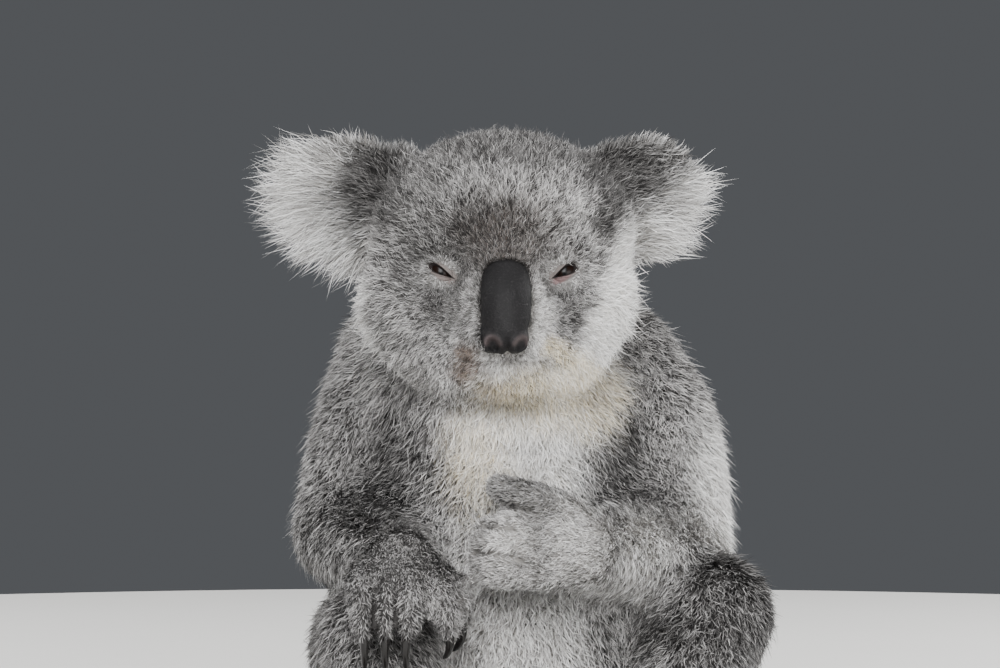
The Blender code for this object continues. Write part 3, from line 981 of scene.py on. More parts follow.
    def dark_paws(self) -> Array:
        """Gives the thumb, knuckles and speckles of the fist, and the open right paw.

        Returns:
            A share for each point.
        """
        points, fist = self.points, self.fist
        thumb = self.paws * blob(points, (8, -110, 170), (18, 40, 9), 0.4)
        knuckles = fist * ramp(points[:, 0], -4, -18) * 0.5
        open_paw = self.paws * (points[:, 0] < -24) * (0.3 + 0.5 * ramp(points[:, 2], 112, 92))
        speckles = np.maximum(
            fist * blob(points, (21, -110, 161), (9, 40, 9), 0.5) * 0.95,
            fist * blob(points, (20, -110, 144), (7, 40, 14), 0.5) * 0.5,
        )
        streaks = fist * ramp(wobble(points, 4.5, 12), 0.1, 0.8) * ramp(points[:, 0], 30, 10) * 0.5
        return np.maximum.reduce([thumb, knuckles, open_paw, speckles, streaks])

    def dark_arms(self) -> Array:
        """Gives the darker fur of the arms, partly painted shade on the right arm and beside the chest, clear
        of the collar.

        Returns:
            A share for each point.
        """
        side = self.arms | self.torso
        # Painted shade: the right arm is darker, most of all in the shadow between it and the chest; the left
        # arm's dark beside the chest is partly painted shade too.
        arms = np.maximum.reduce([
            self.arms * ramp(self.points[:, 0], 0, -40) * 0.2,
            side * blob(self.shaken, (-64, -70, 186), (27, 60, 34), 0.5) * 0.95,
            side * blob(self.shaken, (54, -50, 190), (24, 60, 34), 0.5) * 0.8,
            side * blob(self.shaken, (70, -50, 170), (28, 60, 30), 0.5) * 0.4,
        ])
        return arms * (1 - 0.8 * self.collar)

    def cream(self) -> Array:
        """Gives the cream under the chin and jaw, on the chest and on the collar.

        Returns:
            A share for each point.
        """
        chin = np.maximum(self.torso, self.head) * blob(self.shaken, (26, -80, 222), (36, 50, 15), 0.5) * 0.6
        jaw = self.head * band(self.shaken, [(26, 246), (40, 238), (58, 228)], 8) * 0.6
        chest = self.torso * blob(self.shaken, (-14, -80, 190), (16, 50, 34), 0.5) * 0.45
        return np.maximum.reduce([chin, jaw, chest, self.collar * 0.55])

    def brown(self) -> Array:
        """Gives the brown stains at the corners of the mouth and on the chin, and the warm brow.

        Returns:
            A share for each point.
        """
        stain = blob(self.shaken, (-18, -108, 238), (7.5, 20, 9.5), 0.6) * 1.5
        tan = blob(self.shaken, (24, -106, 248), (5, 20, 7), 0.6) * 0.3
        warm = blob(self.shaken, (4, -100, 302), (26, 40, 22), 0.6) * 0.16
        chin = blob(self.shaken, (-1, -100, 224), (10, 40, 7), 0.6) * 0.5
        return self.head * np.maximum.reduce([stain, tan, warm, chin])

    def worn(self) -> Array:
        """Gives the markings softened over the skin, with painted shade added in the creases.

        Returns:
            A column for each Mark, in its order.
        """
        marks = {
            Mark.WHITE: self.white(),
            Mark.DARK: self.dark(),
            Mark.CREAM: self.cream(),
            Mark.BROWN: self.brown(),
        }
        rows = self.surface.spread(np.column_stack([marks[mark] for mark in Mark]), 11)
        # Painted shade: the creases between the fingers and toes are darkened.
        rows[:, list(Mark).index(Mark.DARK)] += self.creases
        return np.clip(rows, 0, 1)


# ---------------------------------------------------------------------------------------------- skin


@dataclass
class Lids:
    """The heavy half-closed lids of one eye, wrapped over the eyeball around a slanting slit.

    The slit is widest towards the ear, and rises over the eye's middle. The lids have their full thickness
    out to the reach, and fade into the face.
    """

    side: str
    thickness: float = 1.9
    rise: float = 1.3
    reach: float = 9.0
    fade: float = 14.0
    margin: float = 0.55  # how much thicker the lids are beside the slit
    upper_fold: float = 0.8
    lower_fold: float = 0.5
    tuck: float = 1.6  # how deep the skin in the slit lies under the eyeball's surface

    def slit(self, points: Array) -> tuple[Array, Array, Array]:
        """Measures places against the slit.

        Args:
            points: rows of places.

        Returns:
            The distance along the slit, outwards from its middle, the distance above it, and the slit's own
            measure, which is 1 on its edge.
        """
        length, height = {"l": (6.3, 2.15), "r": (6.8, 1.7)}[self.side]
        x = SIDES[self.side] * points[:, 0] - EYE_AT[0]
        z = points[:, 2] - EYE_AT[2] - self.rise
        slant = math.radians(EYE_SLANT)
        along = x * math.cos(slant) + z * math.sin(slant)
        across = -x * math.sin(slant) + z * math.cos(slant)
        opening = height * (1 + 0.1 * np.clip(along, -length, length)) * np.where(across > 0, 0.85, 0.95)
        measure = (np.abs(along) / length) ** 2.2 + (np.abs(across) / opening) ** 2
        return along, across, measure

    def shape(self, points: Array) -> Array:
        """Draws the skin around the eye over it, or into the slit.

        Args:
            points: rows of places.

        Returns:
            The places, with those around the eye moved.
        """
        centre = np.array([EYE_AT[0] * SIDES[self.side], EYE_AT[1], EYE_AT[2]])
        offset = points - centre
        along, across, measure = self.slit(points)
        away = np.hypot(along, across)
        distance = np.linalg.norm(offset, axis=1)
        ahead = (points[:, 1] < centre[1] + 2) & (away < self.fade)
        margin = np.exp(-(((measure - 2.2) / 0.9) ** 2))
        fold_above = np.exp(-(((across - 5.0 + 0.03 * along**2) / 0.9) ** 2))
        fold_below = np.exp(-(((across + 5.6 - 0.04 * along**2) / 0.9) ** 2))
        lid = EYE_RADIUS + self.thickness + self.margin * margin
        lid = lid - self.upper_fold * fold_above - self.lower_fold * fold_below
        target = lid + (EYE_RADIUS - self.tuck - lid) * ramp(measure, 1.5, 0.85)
        share = ramp(away, self.fade, self.reach) * ahead
        wanted = distance + (target - distance) * share
        return centre + offset * (wanted / np.maximum(distance, 1e-6))[:, None]

    def bare(self, points: Array) -> Array:
        """Finds where no hair grows.

        Args:
            points: rows of places.

        Returns:
            1 on the slit and its margin, and 0 away from it.
        """
        along, across, _ = self.slit(points)
        low = 4.8 if self.side == "l" else 3.4
        near = ramp(np.hypot((along + 1) / 8.2, across / np.where(across < 0, low, 3.0)), 1.12, 0.9)
        return near * (points[:, 1] < EYE_AT[1])

    def paint(self, points: Array) -> tuple[Array, Array, Array]:
        """Colours the lids.

        Args:
            points: rows of places.

        Returns:
            The shares of bare lid, of pink lower lid, and of dark rim at the slit's edge.
        """
        along, across, measure = self.slit(points)
        near = points[:, 1] < EYE_AT[1]
        lid = ramp(np.hypot((along + 1) / 9.0, across / 4.6), 1.15, 0.85) * near * 0.85
        strength = {"l": 0.6, "r": 0.1}[self.side]
        pink = ramp(np.hypot((along + 4.0) / 6.5, (across + 2.6) / 2.4), 1.2, 0.6) * near * strength
        rim = ramp(measure, 2.3, 1.35) * near
        return lid, pink, rim


@dataclass
class Hide:
    """The one skin of the whole body, under the coat. Its creases are deeper on the right paw and foot."""

    anatomy: Anatomy
    voxel: float = 2.3
    swell: float = 0.8  # closes the narrow gaps between the solids
    ear_shrink: float = 0.33  # leaves room inside the solid ears for their long locks
    crease_depth: float = 4.2
    right_crease_depth: float = 7.0
    nose_give: float = 8.0  # how far the skin lies back under the nose pad
    chin_fill: float = 9.0  # how far the throat comes forward under the chin
    mouth_depth: float = 1.7
    groove_depth: float = 0.6
    lip_height: float = 0.9

    def build(self) -> Surface:
        """Makes the skin.

        Returns:
            Its surface, shaped, with its unwrap.
        """
        flesh = self.anatomy.names
        skin = add_object("skin", solids(flesh, self.swell))
        remelt(skin, self.voxel)
        surface = Surface(skin)
        surface.points = surface.spread(surface.points, 3)
        parts = self.anatomy.parts_at(surface.points)
        self.sink(surface, parts)
        self.fill(surface)
        surface.write()
        self.refine(skin, (-30, -200, 112), (40, -106, 186))  # the left paw
        self.refine(skin, (-100, -200, 60), (-26, -88, 150))  # the right paw
        self.refine(skin, (-110, -200, -5), (-30, -120, 40))  # the right foot
        self.refine(skin, (50, -200, -5), (140, -110, 40))  # the left foot
        surface = Surface(skin)
        deep = surface.spread(self.anatomy.creases(surface.points), 1)
        deep *= np.where(surface.points[:, 0] < -24, self.right_crease_depth, self.crease_depth)
        surface.points -= surface.normals() * deep[:, None]
        surface.write()
        self.refine(skin, (-62, -200, 222), (62, -52, 322))  # the face
        self.refine(skin, (-50, -200, 236), (50, -66, 302))  # around the nose
        for sign in SIDES.values():  # around each eye
            low, high = sorted((sign * 18, sign * 48))
            self.refine(skin, (low, -200, 272), (high, -70, 299))
        surface = Surface(skin)
        surface.points = self.sculpt(surface.points)
        surface.write()
        self.unwrap(skin)
        return surface

    def sink(self, surface: Surface, parts: Array) -> None:
        """Draws the skin in under the coat, by the coat's depth, and the ears further.

        Args:
            surface: the skin, whose points are moved.
            parts: the part of each of them.
        """
        depth = self.anatomy.growth(surface, parts)[:, 0] + self.swell - 0.4
        ear = self.anatomy.is_part(parts, "ear")
        for _ in range(5):
            surface.points -= surface.normals() * (depth / 5)[:, None]
            surface.points = surface.spread(surface.points, 1, 0.35)
        for side, sign in SIDES.items():
            here = ear & (np.sign(surface.points[:, 0]) == sign)
            root = np.array([sign * EAR_ROOT[0], 0, EAR_ROOT[2] - 2])
            offset = (surface.points - root) * np.array([1, 0, 1])
            reach = np.linalg.norm(offset, axis=1)
            share = self.ear_shrink * ramp(reach, 14, 46) * here
            share *= 1 + (0.55 if side == "l" else 0.35) * ramp(offset[:, 2], 22, -12)
            offset[:, 2] *= np.where(offset[:, 2] > 0, 0.5, 1.1)
            surface.points -= offset * share[:, None]
            LOG.info("ear %s drawn in", side)

    def fill(self, surface: Surface) -> None:
        """Softens the folds that the coat bridges: under the head, at the ears' roots and inside the elbows.

        Args:
            surface: the skin, whose points are moved. They also give way under the nose pad, and come forward
                under the chin.
        """
        points = surface.points
        folded = np.column_stack([np.abs(points[:, 0]), points[:, 1:]])
        soft = surface.spread(points, 100)
        share = np.maximum.reduce([
            blob(points, (0, -62, 227), (80, 60, 17), 0.5),
            blob(folded, (58, -24, 326), (14, 34, 34), 0.5) * 0.7,
            blob(folded, (84, -42, 154), (34, 44, 26), 0.5) * 0.85,
        ])
        points = points + (soft - points) * share[:, None]
        points[:, 1] += self.nose_give * ramp(self.anatomy.under_nose(points), 1.06, 0.84)
        points[:, 1] -= self.chin_fill * blob(points, (8, -72, 212), (54, 40, 16), 0.6)
        surface.points = points

    def refine(self, obj: bpy.types.Object, low: tuple[float, ...], high: tuple[float, ...]) -> None:
        """Halves the mesh's grain inside a box.

        Args:
            obj: the mesh object.
            low: the box's lowest corner.
            high: its highest corner.
        """
        shape = bmesh.new()
        shape.from_mesh(obj.data)
        low_point, high_point = Vector(low) * MM, Vector(high) * MM
        inside = {
            vert
            for vert in shape.verts
            if all(a <= value <= b for a, value, b in zip(low_point, vert.co, high_point))
        }
        edges = [edge for edge in shape.edges if edge.verts[0] in inside and edge.verts[1] in inside]
        bmesh.ops.subdivide_edges(shape, edges=edges, cuts=1, use_grid_fill=True, smooth=0.0)
        bmesh.ops.triangulate(shape, faces=[face for face in shape.faces if len(face.verts) > 4])
        shape.to_mesh(obj.data)
        shape.free()

    def sculpt(self, points: Array) -> Array:
        """Shapes the face: the lids, the lips, the mouth's crease and the groove above it.

        Args:
            points: rows of places.

        Returns:
            The places after it.
        """
        for side in SIDES:
            points = Lids(side).shape(points)
        front = (points[:, 1] < FACE_DEPTH).astype(float)
        lips = blob(points, (1.5, -112, 241.5), (19, 40, 4.0), 0.6) * front
        mouth = band(points, MOUTH, 2.2) * front
        groove = band(points, [(2, 247), (2, 242)], 2.0) * front
        points[:, 1] += self.mouth_depth * mouth + self.groove_depth * groove - self.lip_height * lips
        return points

    def unwrap(self, obj: bpy.types.Object) -> None:
        """Lays the skin out flat, in pieces that don't overlap.

        Args:
            obj: the skin.
        """
        bpy.ops.object.select_all(action="DESELECT")
        bpy.context.view_layer.objects.active = obj
        obj.select_set(True)
        bpy.ops.object.mode_set(mode="EDIT")
        bpy.ops.mesh.select_all(action="SELECT")
        bpy.ops.uv.smart_project(angle_limit=1.2, island_margin=0.003)
        bpy.ops.object.mode_set(mode="OBJECT")
        obj.data.uv_layers[0].name = "OFBake"

    def dress(self, surface: Surface, fur: Fur) -> None:
        """Paints the skin with the coat's markings and their painted shade and light, the lids, and the lips
        with painted shade in the mouth's crease, and fixes it to the body.

        Args:
            surface: the skin.
            fur: its finish.
        """
        mesh = surface.obj.data
        for mark, values in zip(Mark, Markings(self.anatomy, surface).worn().T):
            paint(mesh, mark.value, values)
        paint(mesh, "tip", np.full(len(surface.points), 0.34))  # the colour that a tuft has that far along
        paint(mesh, "chance", np.full(len(surface.points), 0.35))
        shares = np.zeros((3, len(surface.points)))
        for side in SIDES:
            shares = np.maximum(shares, np.array(Lids(side).paint(surface.points)))
        front = surface.points[:, 1] < FACE_DEPTH
        # A dark line along the mouth: partly the lips' dark edge, partly painted shade in the mouth's crease.
        shares[2] = np.maximum(shares[2], band(surface.points, MOUTH, 1.5) * front * 0.8)
        for name, values in zip(("lid", "pink", "rim"), shares):
            paint(mesh, name, values)
        finish_piece(surface.obj, fur.build())
        flesh = [name for name in self.anatomy.names if not name.startswith(("nose", "eye"))]
        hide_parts(*flesh)


# ---------------------------------------------------------------------------------------------- coat


@dataclass(frozen=True)
class Strip:
    """The pattern of one kind of tuft: a flat strip of hair that narrows to a tip.

    Its stations are the places along it, from 0 at its root to 1 at its tip, and it has a share of its full
    width at each but the last.
    """

    stations: tuple[float, ...]
    widths: tuple[float, ...]

    def corners(self) -> int:
        """Gives the number of a tuft's corners: left and right at each station, and the tip."""
        return 2 * len(self.widths) + 1

    def faces(self) -> Array:
        """Gives the triangles between the corners.

        Returns:
            A row of three corners' numbers for each.
        """
        rows = []
        for k in range(0, 2 * len(self.widths) - 2, 2):
            rows += [(k, k + 1, k + 3), (k, k + 3, k + 2)]
        last = 2 * len(self.widths)
        return np.array(rows + [(last - 2, last - 1, last)])

    def spots(self) -> Array:
        """Gives each corner's place on the tuft's own patch of the unwrap, from -1 to 1."""
        rows = [(side, 2 * station - 1) for station in self.stations[:-1] for side in (-1, 1)]
        return np.array(rows + [(0, 1)], float)

    def shares(self) -> Array:
        """Gives each corner's share of the way from root to tip."""
        return np.append(np.repeat(self.stations[:-1], 2), 1.0)


@dataclass
class Coat:
    """The tufts of the whole coat, each a thin lock that is bent over to lie on the body.

    How much tufts vary, bow and droop is a share of their own height or length.
    """

    anatomy: Anatomy
    surface: Surface  # the skin
    sink: float = 0.8  # how deep a root stands in the skin
    spread_deg: float = 24.0  # how far tufts turn from the coat's lie
    height_varies: float = 0.22
    length_varies: float = 0.18
    bow: float = 0.13  # sideways
    droop: float = 0.13  # of the ears' locks
    curl: float = 0.52  # how much steeper a tuft stands at its root than halfway, in radians
    roll: float = 0.5  # how far it twists about its length, in radians
    clump_mm: float = 3.0  # how wide a clump is
    clump_pull: float = 0.5  # how far its tufts lean towards its middle
    guard_share: float = 0.05  # the share of tufts that stand out as guard hairs
    guard_height: float = 0.55  # how much higher, longer and thinner those are
    guard_length: float = 0.5
    guard_thinness: float = 0.35
    own_chance: float = 0.6  # how far a tuft's paleness is its own rather than its clump's
    contrast: float = 1.9  # between pale and dark tufts
    patch: float = 0.0015  # half a tuft's size on the unwrap
    seed: int = 11
    short: Strip = Strip((0.0, 0.5, 1.0), (1.0, 0.9))
    long: Strip = Strip((0.0, 0.34, 0.68, 1.0), (1.0, 1.0, 0.75))

    def build(self, finishes: dict[Slot, bpy.types.Material]) -> None:
        """Grows the coat, in pieces by part of the body.

        Args:
            finishes: the fur of each slot.
        """
        roots = self.sow()
        groups = {
            "coat_face": (Slot.GREY_COAT, self.short, ("head", "nose", "eye")),
            "coat_ears": (Slot.PALE_COAT, self.long, ("ear",)),
            "coat_body": (Slot.GREY_COAT, self.short, ("neck", "trunk")),
            "coat_arms": (Slot.GREY_COAT, self.short, ("upper_arm", "forearm")),
            "coat_legs": (Slot.GREY_COAT, self.short, ("thigh", "shin")),
            "coat_paws": (Slot.DARK_COAT, self.short, ("hand", "foot")),
        }
        for name, (slot, strip, kinds) in groups.items():
            here = np.flatnonzero(self.anatomy.is_part(roots["part"], *kinds))
            here = here[np.argsort(roots["place"][here, 0], kind="stable")]
            pieces = math.ceil(len(here) * len(strip.faces()) / MOST_TRIANGLES)
            for number, chosen in enumerate(np.array_split(here, pieces), 1):
                own = {key: rows[chosen] for key, rows in roots.items()}
                finish_piece(self.grow(f"{name}_{number}", strip, own), finishes[slot])

    def sow(self) -> dict[str, Array]:
        """Chooses the tufts' roots on the skin.

        Returns:
            For each root its place, outward direction, lie, growth, markings with their painted shade and
            light, part and place on the unwrap, and what chance adds to it.
        """
        mesh = self.surface.obj.data
        mesh.calc_loop_triangles()
        triangles = read(mesh.loop_triangles, "vertices", 3)
        corners = read(mesh.loop_triangles, "loops", 3)
        points = self.surface.points
        parts = self.anatomy.parts_at(points)
        growth = self.anatomy.growth(self.surface, parts)
        a, b, c = (points[triangles[:, k]] for k in range(3))
        area = np.linalg.norm(np.cross(b - a, c - a), axis=1) / 2
        weight = area * (growth[:, 4] * self.haired(points))[triangles].mean(axis=1)
        LOG.info("skin %.0f mm2, coat wants %.0f tufts", area.sum(), weight.sum())
        source = np.random.default_rng(self.seed)
        chosen = source.choice(len(weight), TUFTS, p=weight / weight.sum())
        first, second = source.random((2, TUFTS))
        over = first + second > 1
        first[over], second[over] = 1 - first[over], 1 - second[over]
        shares = np.column_stack([1 - first - second, first, second])
        picked = triangles[chosen]
        map_spots = read(mesh.uv_layers["OFBake"].data, "uv", 2)[corners[chosen]]
        whole = {
            "place": points,
            "normal": self.surface.normals(),
            "lie": self.anatomy.lie(self.surface, parts),
            "growth": growth,
            "marks": Markings(self.anatomy, self.surface).worn(),
        }
        roots = {name: (rows[picked] * shares[:, :, None]).sum(axis=1) for name, rows in whole.items()}
        roots["normal"] = unit(roots["normal"])
        roots["part"] = parts[picked[:, 0]]
        roots["map"] = (map_spots * shares[:, :, None]).sum(axis=1)
        roots["chance"] = source.random(TUFTS)
        for name in ("turn", "stretch", "lift", "bend", "roll"):
            roots[name] = source.normal(size=TUFTS)
        in_ears = self.anatomy.is_part(roots["part"], "ear")
        roots["guard"] = (source.random(TUFTS) < self.guard_share) * np.where(in_ears, 0.2, 1.0)
        roots["shake"] = source.normal(size=(TUFTS, len(Mark)))
        return roots

    def haired(self, points: Array) -> Array:
        """Finds where hair grows.

        Args:
            points: rows of places.

        Returns:
            1 on hairy skin, 0 under the nose pad, on the lids' margins and on the floor, and less in creases
            and on the lips.
        """
        keep = ramp(self.anatomy.under_nose(points), 0.93, 1.0)
        for side in SIDES:
            keep = keep * (1 - Lids(side).bare(points))
        keep = keep * ramp(points[:, 2], 0.6, 2.0) * (1 - 0.9 * self.anatomy.creases(points))
        lips = band(points, MOUTH, 1.8) * (points[:, 1] < FACE_DEPTH)
        return keep * (1 - 0.6 * lips * ramp(np.abs(points[:, 0] - 2), 3, 8))

    def clumps(self, place: Array) -> tuple[Array, Array]:
        """Sorts tufts into clumps.

        Args:
            place: the tufts' roots.

        Returns:
            The middle of each root's clump, and a number that is the clump's own and looks random.
        """
        cell = np.floor(place / self.clump_mm)
        number = np.abs(np.sin(cell @ np.array(SCATTER)) * 43758.5453)
        jitter = np.column_stack([np.modf(number * k)[0] for k in (1.0, 1.7, 2.9)])
        return (cell + 0.25 + 0.5 * jitter) * self.clump_mm, number

    def grow(self, name: str, strip: Strip, roots: dict[str, Array]) -> bpy.types.Object:
        """Makes one piece of the coat.

        Args:
            name: the piece's name.
            strip: the pattern of its tufts.
            roots: what sow chose for it.

        Returns:
            The piece, painted, and not yet dressed.
        """
        middle, number = self.clumps(roots["place"])
        mesh = self.tuft_mesh(name, strip, self.bend_over(strip, roots, middle))
        spots = (roots["map"][:, None] + strip.spots()[None] * self.patch)[:, strip.faces().ravel()]
        mesh.uv_layers.new(name="OFBake").data.foreach_set("uv", spots.astype(np.float32).ravel())
        marks, shake = roots["marks"], roots["shake"]
        marks = marks * (1 + 0.2 * shake) + 0.5 * shake * marks * (1 - marks)
        for mark, values in zip(Mark, np.clip(marks, 0, 1).T):
            paint(mesh, mark.value, np.repeat(values, strip.corners()))
        shared = np.modf(number * 4.3)[0]
        chance = self.own_chance * roots["chance"] + (1 - self.own_chance) * shared
        chance = np.clip(0.5 + self.contrast * (chance - 0.5), 0, 1)
        paint(mesh, "chance", np.repeat(chance, strip.corners()))
        paint(mesh, "tip", np.tile(strip.shares(), len(marks)))
        return add_object(name, mesh)

    def bend_over(self, strip: Strip, roots: dict[str, Array], middle: Array) -> Array:
        """Bends each tuft from its root over the body.

        Args:
            strip: the tufts' pattern.
            roots: what sow chose for them.
            middle: the middle of each one's clump.

        Returns:
            Each tuft's corners, in the pattern's order.
        """
        place, normal, guard = roots["place"], roots["normal"], roots["guard"]
        _, height, length, width, _ = roots["growth"].T
        height = height * np.clip(1 + self.height_varies * roots["lift"], 0.5, 1.6)
        height = height * (1 + self.guard_height * guard)
        length = length * np.clip(1 + self.length_varies * roots["stretch"], 0.55, 1.5)
        length = length * (1 + self.guard_length * guard)
        width = width * (1 - self.guard_thinness * guard)
        rise = np.arcsin(np.clip(height / length, 0.1, 0.8))
        free = self.anatomy.is_part(roots["part"], "ear")[:, None]
        combed = ramp(length, 16, 26)  # long locks wander less and clump more
        lie = roots["lie"]
        lie = unit(lie - normal * (lie * normal).sum(axis=1, keepdims=True) * ~free)
        wander = np.radians(self.spread_deg) * roots["turn"] * (1 - 0.6 * combed)
        wander = wander + 0.25 * wobble(place, 22, 5)
        side = unit(np.cross(normal, lie))
        heading = unit(lie * np.cos(wander)[:, None] + side * np.sin(wander)[:, None])
        side = unit(np.cross(normal, heading))
        pull = (middle - place) * (self.clump_pull * (1 + combed))[:, None]
        pull -= normal * (pull * normal).sum(axis=1, keepdims=True)

        rows = [place - normal * self.sink]
        for start, end in zip(strip.stations[:-1], strip.stations[1:]):
            tilt = np.maximum(rise + self.curl * (1 - start - end), 0.03)
            step = heading * np.cos(tilt)[:, None] + normal * np.sin(tilt)[:, None]
            rows.append(rows[-1] + step * (length * (end - start))[:, None])
        spine = np.stack(rows, axis=1)
        stations = np.array(strip.stations)
        spine += pull[:, None] * np.minimum(stations, 0.6)[:, None]
        swerve = self.bow * length * roots["bend"]
        spine += (side * swerve[:, None])[:, None] * (4 * stations * (1 - stations))[:, None]
        spine[:, :, 2] -= (self.droop * free * length[:, None]) * stations**2
        roll = self.roll * roots["roll"][:, None]
        wide = (side * np.cos(roll) + normal * np.sin(roll)) * (width / 2)[:, None]
        corners = np.empty((len(place), strip.corners(), 3))
        for station, share in enumerate(strip.widths):
            corners[:, 2 * station] = spine[:, station] + wide * share
            corners[:, 2 * station + 1] = spine[:, station] - wide * share
        corners[:, -1] = spine[:, -1]
        corners[:, :, 2] = np.maximum(corners[:, :, 2], FLOOR_CLEARANCE)
        return corners

    def tuft_mesh(self, name: str, strip: Strip, corners: Array) -> bpy.types.Mesh:
        """Makes a mesh of tufts.

        Args:
            name: its name.
            strip: their pattern.
            corners: the corners of each tuft.

        Returns:
            The mesh.
        """
        count, each = corners.shape[:2]
        mesh = bpy.data.meshes.new(name)
        faces = (strip.faces()[None] + np.arange(count)[:, None, None] * each).reshape(-1, 3)
        mesh.vertices.add(count * each)
        mesh.vertices.foreach_set("co", (corners * MM).astype(np.float32).ravel())
        mesh.loops.add(faces.size)
        mesh.loops.foreach_set("vertex_index", faces.astype(np.int32).ravel())
        mesh.polygons.add(len(faces))
        mesh.polygons.foreach_set("loop_start", np.arange(0, faces.size, 3, dtype=np.int32))
        mesh.update(calc_edges=True)
        return mesh


# ------------------------------------------------------------------------------- nose, eyes and claws


@dataclass
class NosePad:
    """The bare nose: an oblong leathery pad with comma-shaped nostrils and a groove between them."""

    voxel: float = 0.8
    nostril_x: float = 7.4
    nostril_z: float = 248.0
    nostril_depth: float = 4.6
    rim_height: float = 0.8
    lean: float = 0.7  # how far the groove lies to the left of the pad's middle
    groove_width: float = 1.6
    groove_depth: float = 2.4
    notch_height: float = 1.7  # where the groove meets the pad's lower edge
    # How much wider the pad is than its solid at each of these heights.
    heights: tuple[float, ...] = (243, 249, 256, 262, 270, 284, 291)
    widening: tuple[float, ...] = (0.95, 0.86, 0.9, 1.06, 1.1, 1.34, 1.3)

    def build(self, leather: NoseLeather) -> bpy.types.Object:
        """Makes the pad.

        Args:
            leather: its finish.

        Returns:
            The piece.
        """
        pad = add_object("nose_pad", solids(["nose"], 0.0))
        remelt(pad, self.voxel)
        surface = Surface(pad)
        points = surface.spread(surface.points, 12)
        middle = NOSE_MIDDLE[0]
        x, z = points[:, 0] - middle, points[:, 2]
        points[:, 0] = middle + x * np.interp(z, self.heights, self.widening)
        x = points[:, 0] - middle - self.lean
        front = (points[:, 1] < -110).astype(float)
        notch = np.exp(-((x / self.groove_width) ** 2)) * ramp(z, 256, 246)
        points[:, 1] += self.groove_depth * notch * front
        points[:, 2] += self.notch_height * notch * ramp(z, 248, 243)
        inside = np.zeros(len(points))
        for sign in SIDES.values():
            dx, dz = sign * x - self.nostril_x, z - self.nostril_z
            hole = np.hypot(dx / 3.9, (dz - 0.25 * dx) / 4.2)
            pit = ramp(hole, 1.1, 0.5) * front
            rim = np.exp(-(((hole - 1.3) / 0.28) ** 2)) * front * ramp(dz, -2.5, 1.0)
            points[:, 1] += self.nostril_depth * pit - self.rim_height * rim
            # Paler upper inner rim of each nostril: pinkish skin, partly a painted highlight.
            arch = np.exp(-(((hole - 0.9) / 0.36) ** 2)) * ramp(dz, -1.6, 1.2) * front
            inside = np.maximum(inside, arch * 0.75)
        surface.points = points
        surface.write()
        paint(pad.data, "inside", inside)
        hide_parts("nose")
        return finish_piece(pad, leather.build())


@dataclass
class Eyeball:
    """One eye, mostly covered by its lids."""

    side: str
    iris: float = 6.0  # its radius
    pupil: tuple[float, float] = (1.5, 4.2)  # half its width and height
    bulge: float = 0.5

    def build(self, wet: bpy.types.Material) -> bpy.types.Object:
        """Makes the eyeball, with a slight bulge over the iris.

        Args:
            wet: its material.

        Returns:
            The piece.
        """
        shape = bmesh.new()
        bmesh.ops.create_uvsphere(shape, u_segments=64, v_segments=48, radius=EYE_RADIUS * MM)
        mesh = bpy.data.meshes.new(f"eyeball_{self.side}")
        shape.to_mesh(mesh)
        shape.free()
        eye = add_object(mesh.name, mesh)
        points = read(mesh.vertices, "co", 3) / MM
        ahead = points[:, 1] < 0
        radius = np.hypot(points[:, 0], points[:, 2])
        points[:, 1] -= self.bulge * ramp(radius, self.iris, 0.0) * ahead
        iris = ramp(radius / self.iris, 1.1, 0.9) * ahead
        wide, high = self.pupil
        pupil = ramp(np.hypot(points[:, 0] / wide, points[:, 2] / high), 1.1, 0.9) * ahead
        points += np.array([SIDES[self.side] * EYE_AT[0], EYE_AT[1], EYE_AT[2]])
        mesh.vertices.foreach_set("co", (points * MM).astype(np.float32).ravel())
        mesh.update()
        paint(mesh, "iris", iris)
        paint(mesh, "pupil", pupil)
        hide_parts(f"eye_{self.side}")
        return finish_piece(eye, wet)


@dataclass
class Claws:
    """The claws of one paw, rounded from their solids."""

    paw: str

    def build(self, horn: bpy.types.Material) -> bpy.types.Object:
        """Makes the paw's claws.

        Args:
            horn: their material.

        Returns:
            The piece.
        """
        nodes = [name for name in sorted(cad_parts) if name.startswith(f"{self.paw}_claw")]
        claws = add_object(f"claws_{self.paw}", solids(nodes, 0.6))
        smooth = claws.modifiers.new("smooth", "SUBSURF")
        smooth.levels = smooth.render_levels = 2
        settle(claws)
        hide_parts(*nodes)
        return finish_piece(claws, horn)


# -------------------------------------------------------------------------------------------- studio


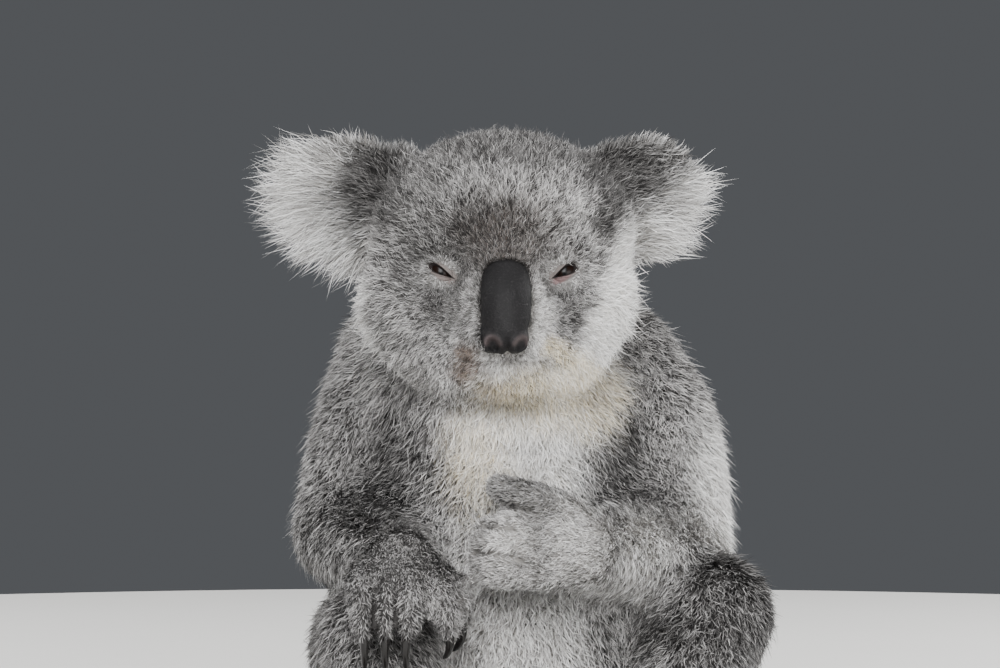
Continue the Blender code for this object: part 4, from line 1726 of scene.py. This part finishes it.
@dataclass
class Studio:
    """Pale floor, soft lights and the camera."""

    distance: float = 3.0  # from the camera to its target, in metres
    lens: float = 200.0
    target: tuple[float, float, float] = (-0.0016, -0.06, 0.2516)
    elevation: float = 2.0  # of the camera over its target, in degrees
    floor: str = "#d6d5d2"
    floor_radius: float = 1.35
    air: str = "#55575a"

    def build(self) -> None:
        """Makes the floor, the air, the lights and the camera."""
        self.add_floor()
        world = bpy.data.worlds.new("air")
        bpy.context.scene.world = world
        world.use_nodes = True
        background = world.node_tree.nodes["Background"]
        background.inputs["Color"].default_value = linear(self.air)
        background.inputs["Strength"].default_value = 1.0
        self.add_light("key", (-0.3, -1.9, 1.4), 1.3, 86.0)
        self.add_light("fill", (1.3, -1.7, 0.4), 1.4, 30.0)
        self.add_light("top", (0.1, 0.3, 2.0), 1.2, 10.0)
        self.add_light("rim_left", (-1.1, 1.0, 1.1), 0.6, 22.0)
        self.add_light("rim_right", (1.2, 0.9, 0.9), 0.6, 32.0)
        self.add_camera()

    def add_floor(self) -> None:
        """Makes the floor: painted board, pale and dull, with a faint unevenness."""
        material, tree, shader = new_material("studio_floor")
        place = add_node(tree, "ShaderNodeTexCoord", {}).outputs["Object"]
        dust = add_node(tree, "ShaderNodeTexNoise", {"Vector": place, "Scale": 6.0, "Detail": 4.0}).outputs[0]
        base = Vector(linear(self.floor))
        mix = {0: dust, 6: tuple(base * 0.97), 7: tuple(base * 1.03)}
        colour = add_node(tree, "ShaderNodeMix", mix, **COLOURS).outputs[2]
        tree.links.new(colour, shader.inputs["Base Color"])
        shader.inputs["Roughness"].default_value = 0.8
        mesh = bpy.data.meshes.new("floor")
        turns = [math.tau * step / 128 for step in range(128)]
        radius = self.floor_radius
        corners = [(math.cos(turn) * radius, math.sin(turn) * radius, 0) for turn in turns]
        mesh.from_pydata(corners, [], [tuple(range(128))])
        mesh.materials.append(material)
        add_object("floor", mesh)

    def add_camera(self) -> None:
        """Adds the camera and makes it the scene's."""
        camera_data = bpy.data.cameras.new("camera")
        camera_data.lens = self.lens
        camera_data.sensor_width = 36.0
        camera = bpy.data.objects.new("camera", camera_data)
        bpy.context.scene.collection.objects.link(camera)
        tilt = math.radians(self.elevation)
        back = Vector((0, -math.cos(tilt), math.sin(tilt)))
        camera.location = Vector(self.target) + back * self.distance
        camera.rotation_mode = "QUATERNION"
        camera.rotation_quaternion = (-back).to_track_quat("-Z", "Y")
        bpy.context.scene.camera = camera

    def add_light(self, name: str, place: tuple[float, float, float], size: float, power: float) -> None:
        """Adds one soft square light that looks at the animal.

        Args:
            name: its name.
            place: where it hangs, in metres.
            size: the length of its side.
            power: its power in watts.
        """
        data = bpy.data.lights.new(name, "AREA")
        data.energy = power
        data.size = size
        light = bpy.data.objects.new(name, data)
        light.location = place
        aim = Vector((0, 0, 0.22)) - Vector(place)
        light.rotation_mode = "QUATERNION"
        light.rotation_quaternion = aim.to_track_quat("-Z", "Y")
        bpy.context.scene.collection.objects.link(light)


def main() -> None:
    """Builds the pieces in order."""
    logging.basicConfig(level=logging.INFO, format="%(relativeCreated)6d ms %(message)s")
    Studio().build()
    anatomy = Anatomy()
    hide = Hide(anatomy)
    surface = hide.build()
    hide.dress(surface, Fur("skin_underfur", under=True))
    NosePad().build(NoseLeather())
    wet = WetEye().build()
    for side in SIDES:
        Eyeball(side).build(wet)
    horn = ClawHorn().build()
    for paw in ("hand_l", "hand_r", "foot_l", "foot_r"):
        Claws(paw).build(horn)
    finishes = {slot: Fur(slot.value).build() for slot in (Slot.GREY_COAT, Slot.DARK_COAT)}
    # The ears' long locks part into streaks: the greyer low end of their white is painted shade on the locks
    # between them.
    locks = Fur(Slot.PALE_COAT.value, white=("#aba9a6", "#ffffff"), root_white="#bdb9b3")
    finishes[Slot.PALE_COAT] = locks.build()
    Coat(anatomy, surface).build(finishes)


if __name__ == "__main__":
    main()
